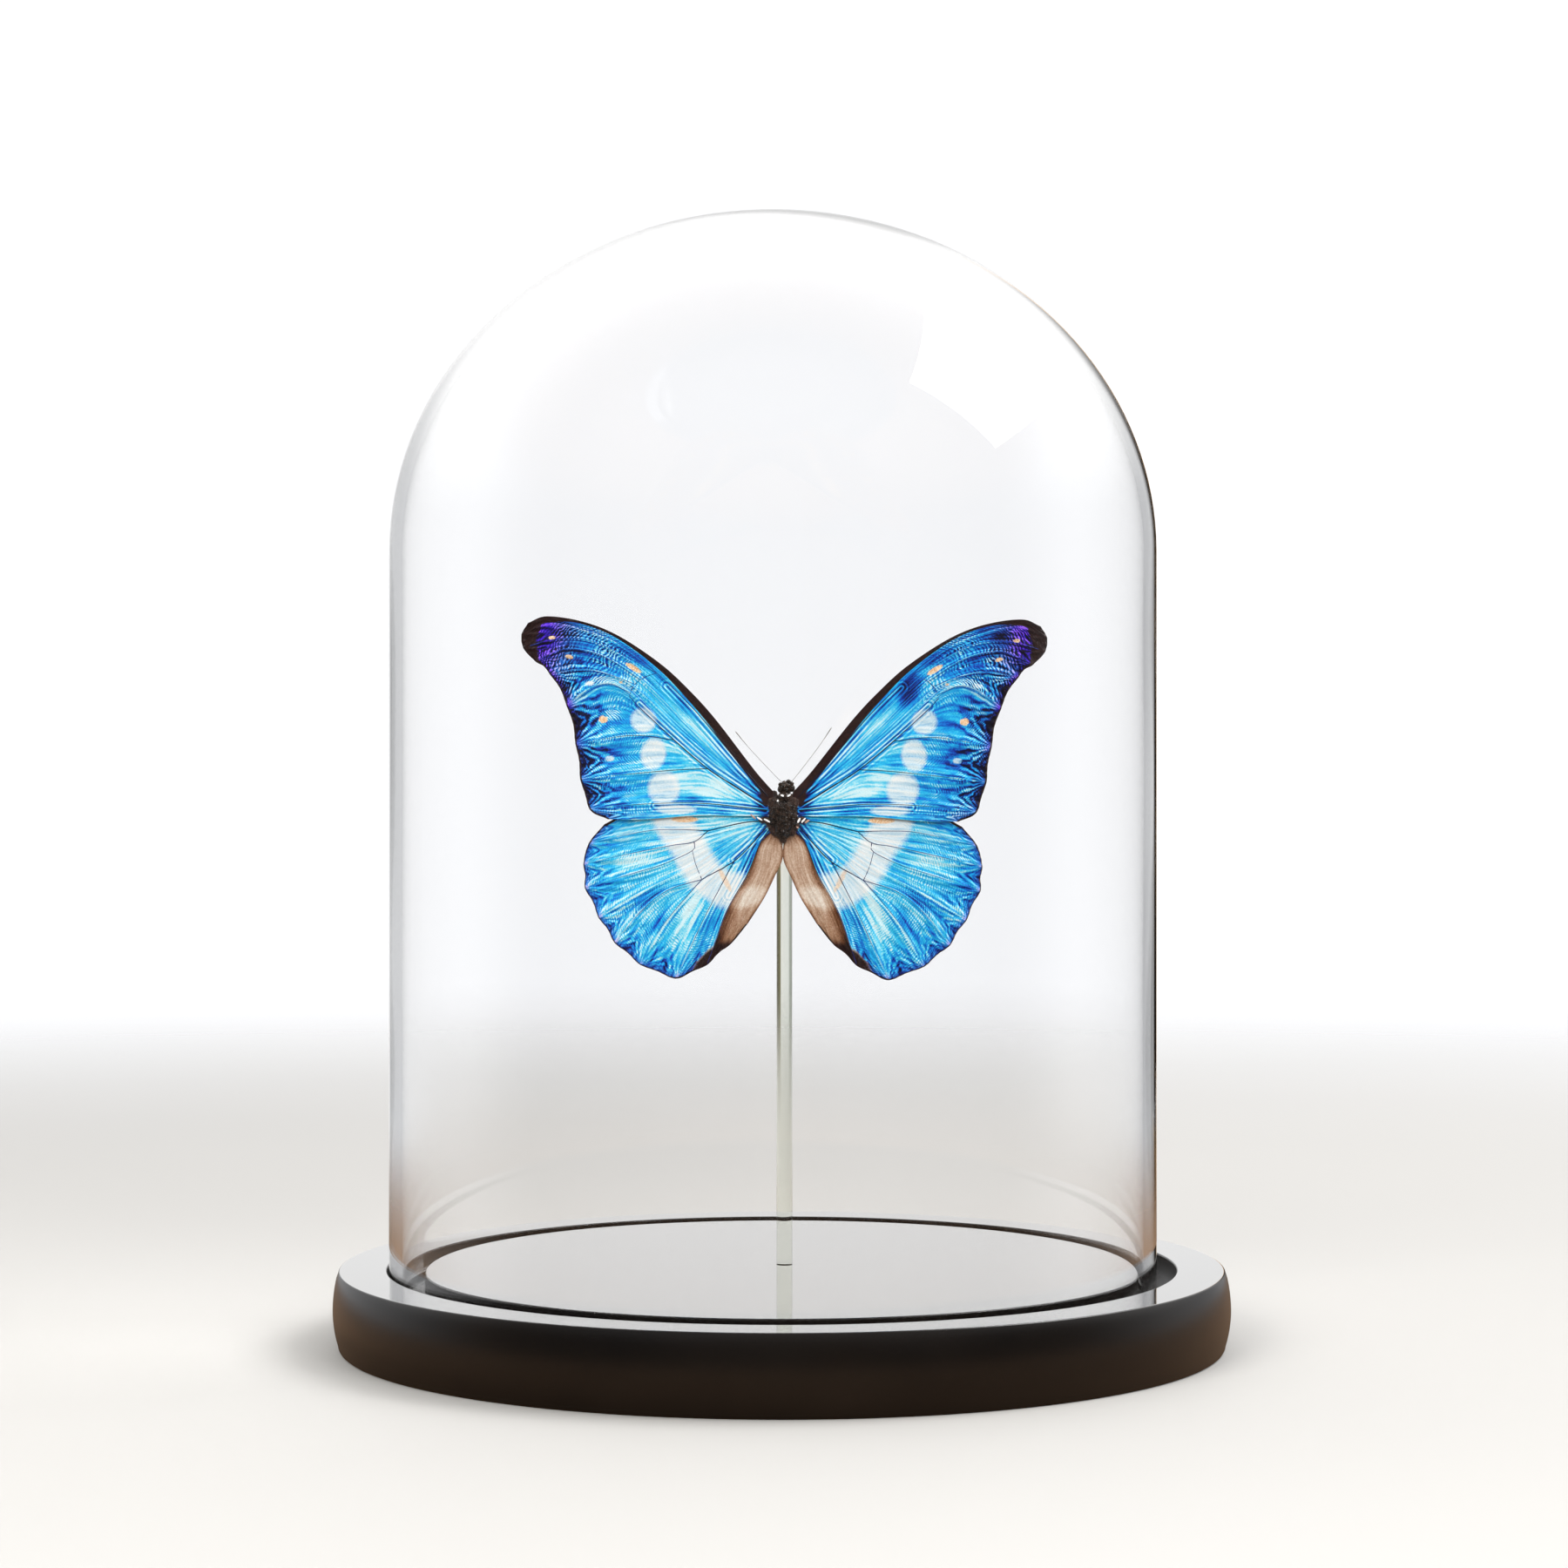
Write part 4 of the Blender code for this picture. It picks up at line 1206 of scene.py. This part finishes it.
def make_tufts():
    """Tight tufts of pale scales: a V behind the head, and two dashes at each hindwing's root."""
    white = body_hair("white_scale_tuft", "#F4F0EC", "#FFFFFF", 0.6)
    buff = body_hair("buff_scale_tuft", "#9A7464", "#CBA898", 0.6)
    # Start, end, half thickness and height above the insect's plane in mm, and which finish.
    runs = [
        ((-0.5, 4.95), (0.05, 4.72), 0.22, 3.3, 0),
        ((1.05, 4.72), (1.65, 5.02), 0.23, 3.3, 0),
        ((-1.24, 3.5), (-1.26, 3.75), 0.2, 3.35, 0),
        ((-6.0, -0.25), (-5.0, -0.88), 0.2, 2.1, 0),
        ((-4.3, -0.68), (-3.2, -1.28), 0.22, 2.5, 0),
        ((3.45, -1.4), (3.9, -0.55), 0.24, 2.4, 0),
        ((4.35, -1.4), (5.1, -0.55), 0.24, 2.2, 0),
        ((-6.5, -0.5), (-7.5, 0.4), 0.24, 1.9, 1),
        ((5.2, -1.45), (6.0, -0.95), 0.28, 1.9, 1),
        ((3.2, -2.5), (3.5, -2.7), 0.2, 2.1, 1),
    ]
    points, faces, slots = [], [], []
    total = 0
    for kind in (0, 1):
        lumps = []
        for start, end, half, forward, finish in runs:
            if finish != kind:
                continue
            for t in np.linspace(0.0, 1.0, 6):
                x = start[0] + t * (end[0] - start[0])
                z = start[1] + t * (end[1] - start[1])
                swell = half * (0.75 + 0.35 * math.sin(math.pi * t))
                at = INSECT / MM + Vector((x, -forward, z))
                lumps.append((at, Vector((swell, swell * 0.8, swell))))
        skin = lumps_mesh("tuft_skin", lumps, 0.06)
        roughened(skin, 2.0 + kind, 0.04, 0.05)
        corners = np.array([v.co for v in skin.vertices])
        points.append(corners)
        faces += [[total + i for i in p.vertices] for p in skin.polygons]
        slots += [kind] * len(skin.polygons)
        total += len(corners)
    shade = np.random.default_rng(8).random(total)
    mesh = painted_mesh("scale_tufts", np.vstack(points) * MM, faces, slots, shade=shade)
    place_piece("scale_tufts", mesh, [white, buff], None)


def make_glue(finish):
    """The drop of clear glue that holds the thorax to the rod."""
    rod_front = -ROD_RADIUS / MM
    between = (THORAX_HIGH.y / MM + rod_front) / 2
    lumps = [
        (Vector((ROD_X / MM, between, INSECT.z / MM + 0.4)), Vector((1.0, 0.75, 1.9))),
        (Vector((ROD_X / MM - 0.2, between - 0.1, INSECT.z / MM - 0.9)), Vector((0.9, 0.6, 1.2))),
    ]
    skin = lumps_mesh("glue_skin", lumps, 0.12)
    for v in skin.vertices:
        v.co *= MM
    skin.shade_smooth()
    place_piece("glue_drop", skin, [finish], None)


def make_antennae():
    """Antennae: ringed stalks a quarter of a millimetre thick that swell to a slender club."""
    finish = body_cuticle("antenna_cuticle", "#43382F", "#95877A", 0.4, 0.3)
    for label, sign in (("left", -1), ("right", 1)):
        low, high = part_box(f"antenna_{label}")
        low, high = low / MM, high / MM
        inner, outer = (high.x, low.x) if sign < 0 else (low.x, high.x)
        base = Vector((HEAD_MIDDLE.x / MM + sign * 0.9, high.y - 0.2, HEAD_MIDDLE.z / MM + 1.2))
        bend = inner + 0.62 * (outer - inner)
        route = [
            base,
            Vector((inner, high.y - 0.3, low.z + 0.2)),
            Vector((bend, (low.y + high.y) / 2, low.z + 0.60 * (high.z - low.z))),
            Vector((outer - sign * 0.2, low.y + 0.3, high.z - 0.2)),
        ]
        line = smooth_line([tuple(v) for v in route], 130)
        t = np.linspace(0, 1, len(line))
        rings = 1 + 0.12 * np.sin(TURN * t * 38)
        radii = (0.05 + 0.05 * soft_step(t, 0.72, 0.95)) * rings
        radii = radii * (1 - 0.6 * soft_step(t, 0.97, 1.0))
        stalk, ids, wall = tube(line, radii, 10)
        faces = wall.tolist() + [ids[0][::-1].tolist(), ids[-1].tolist()]
        name = f"antenna_{label}"
        mesh = painted_mesh(f"{name}_ringed", stalk * MM, faces)
        place_piece(f"{name}_ringed", mesh, [finish], name)


# ---------------------------------------------------------------- stage, light and camera


def soft_box(name, at, across, up, power, colour, in_glass):
    """A rectangular lamp with its sides along two vectors; in_glass: reflections show it."""
    lamp = bpy.data.lights.new(name, "AREA")
    lamp.shape = "RECTANGLE"
    across, up = Vector(across), Vector(up)
    lamp.size, lamp.size_y = across.length, up.length
    lamp.energy = power
    lamp.color = linear(colour)[:3]
    holder = bpy.data.objects.new(name, lamp)
    bpy.context.scene.collection.objects.link(holder)
    x_way = across.normalized()
    z_way = x_way.cross(up).normalized()
    if z_way.dot(Vector(at)) < 0:
        z_way = -z_way
    turn = Matrix((x_way, z_way.cross(x_way), z_way)).transposed()
    holder.matrix_world = Matrix.Translation(at) @ turn.to_4x4()
    holder.visible_glossy = in_glass
    holder.visible_camera = False
    holder.visible_transmission = in_glass
    return holder


def make_stage():
    """A pale floor that melts into a pale studio."""
    made, tree = new_material("pale_floor", Roughness=0.7, Specular_IOR_Level=0.1)
    place = add(tree, "TexCoord", output=3)
    cloud = add(tree, "TexNoise", {"Vector": place, "Scale": 1.5, "Detail": 2.0})
    colour = add(tree, "ValToRGB", [cloud], stops=[(0.3, "#C2C0BD"), (0.7, "#C8C6C3")])
    # The glass and lacquer mirror the floor as a warmer, deeper board than the eye sees.
    mirrored = add(tree, "LightPath", output=11)
    mirrored = add(tree, "Math", [mirrored, 0.5], operation="GREATER_THAN")
    colour = add(tree, "Mix", [mirrored, colour, linear("#7D6148")], **COLOURS)
    wire(tree, Base_Color=colour)
    away = add(tree, "VectorMath", [place], operation="LENGTH")
    nearer = add(tree, "Math", [mirrored, 1.6, 1.0], **TIMES_PLUS)
    away = add(tree, "Math", [away, nearer], **TIMES)
    fade = add(tree, "MapRange", [away, 0.35, 1.55, 1.0, 0.0], **EASED)
    wire(tree, Alpha=fade)
    mesh = bpy.data.meshes.new("floor")
    shape = bmesh.new()
    bmesh.ops.create_circle(shape, cap_ends=True, segments=64, radius=1.6)
    shape.to_mesh(mesh)
    shape.free()
    mesh.materials.append(made)
    floor = bpy.data.objects.new("floor", mesh)
    bpy.context.scene.collection.objects.link(floor)

    world = bpy.data.worlds.new("studio")
    bpy.context.scene.world = world
    world.use_nodes = True
    tree = world.node_tree
    tree.nodes.clear()
    way = add(tree, "TexCoord", output=0)
    aside = add(tree, "SeparateXYZ", [way], output=0)
    ahead = add(tree, "SeparateXYZ", [way], output=1)
    up = add(tree, "SeparateXYZ", [way], output=2)
    # What lamps and reflections meet: a bright wall behind with a dark post to its right, a
    # dim room in front and a lit ceiling.
    wall = add(tree, "MapRange", [ahead, -0.3, 0.5, 0.05, 1.05], **EASED)
    ceiling = add(tree, "MapRange", [up, 0.1, 1.0, 0.0, 0.42], **EASED)
    level = add(tree, "Math", [wall, ceiling], operation="ADD")
    across = add(tree, "Math", [aside, 0.5, 0.5], **TIMES_PLUS)
    sides = add(
        tree, "ValToRGB", [across],
        stops=[
            (0.0, "#C4C5C7"), (0.28, "#D2D3D5"), (0.35, "#D6D7D9"), (0.38, "#FFFFFF"),
            (0.576, "#FFFFFF"), (0.581, "#EEC48C"), (0.590, "#DFAE6C"), (0.596, "#1E1714"),
            (0.655, "#2A2523"), (0.680, "#D0D1D2"), (0.80, "#ACADB0"), (1.0, "#B8B9BB"),
        ],
    )
    high = add(tree, "Math", [up], operation="ABSOLUTE")
    high = add(tree, "MapRange", [high, 0.12, 0.42], **EASED)
    sides = add(tree, "Mix", [high, sides, linear("#FFFFFF")], **COLOURS)
    # The disc inside mirrors the wall alone: the post stands clear of it.
    crossed = add(tree, "LightPath", output=13)
    inside = add(tree, "Math", [crossed, 3.5], operation="GREATER_THAN")
    sides = add(tree, "Mix", [inside, sides, linear("#FFFFFF")], **COLOURS)
    room = add(tree, "VectorMath", {0: sides, "Scale": level}, operation="SCALE")
    # What is seen directly or through the glass: the same pale surround all round.
    diffuse = add(tree, "LightPath", output=10)
    glossy = add(tree, "LightPath", output=11)
    turns = add(tree, "Math", [diffuse, glossy], operation="ADD")
    direct = add(tree, "Math", [turns, 0.5], operation="LESS_THAN")
    # Light bent through the rod as well comes from far aside: darker leaves to the right.
    bent = add(tree, "Math", [crossed, 5.5], operation="GREATER_THAN")
    aside_tones = add(
        tree, "ValToRGB", [across],
        stops=[
            (0.0, "#8E938C"), (0.24, "#B4B8B2"), (0.32, "#F8FAFA"), (0.64, "#FFFFFF"),
            (0.69, "#8A8462"), (0.84, "#544C30"), (1.0, "#6A6448"),
        ],
    )
    surround = add(tree, "Mix", [bent, (1.07, 1.08, 1.105, 1.0), aside_tones], **COLOURS)
    seen = add(tree, "Mix", [direct, room, surround], **COLOURS)
    light = add(tree, "Background", {"Color": seen, "Strength": 1.0})
    add(tree, "OutputWorld", {"Surface": light})

    soft_box(
        "window", (0.97, 0.15, 1.22), (0.229, -1.156, -0.104), (0.50, 0.20, -0.49), 16.0, "#FFFFFF",
        True,
    )
    soft_box(
        "front_left", (-0.60, -1.05, 0.70), (0.55, -0.3, 0.0), (0.2, 0.3, 0.5), 11.5, "#FFFDF8",
        False,
    )
    soft_box(
        "front_right", (0.65, -1.0, 0.45), (0.4, 0.26, 0.0), (-0.1, 0.15, 0.45), 6.0, "#FFFFFF",
        False,
    )


def make_camera():
    """The camera: level, straight on, a little above the middle of the insect."""
    lens = bpy.data.cameras.new("camera")
    lens.sensor_width = 36.0
    lens.lens = 80.2
    lens.clip_start, lens.clip_end = 0.01, 20.0
    camera = bpy.data.objects.new("camera", lens)
    bpy.context.scene.collection.objects.link(camera)
    camera.location = (0.0005, -0.8238, BASE_TOP + 0.1132)
    camera.rotation_euler = (math.radians(90.0), 0.0, 0.0)
    bpy.context.scene.camera = camera


bpy.context.scene.view_settings.view_transform = "Standard"
make_camera()
make_base()
make_dome()
make_rod()
make_wings()
make_body()
make_antennae()
make_stage()
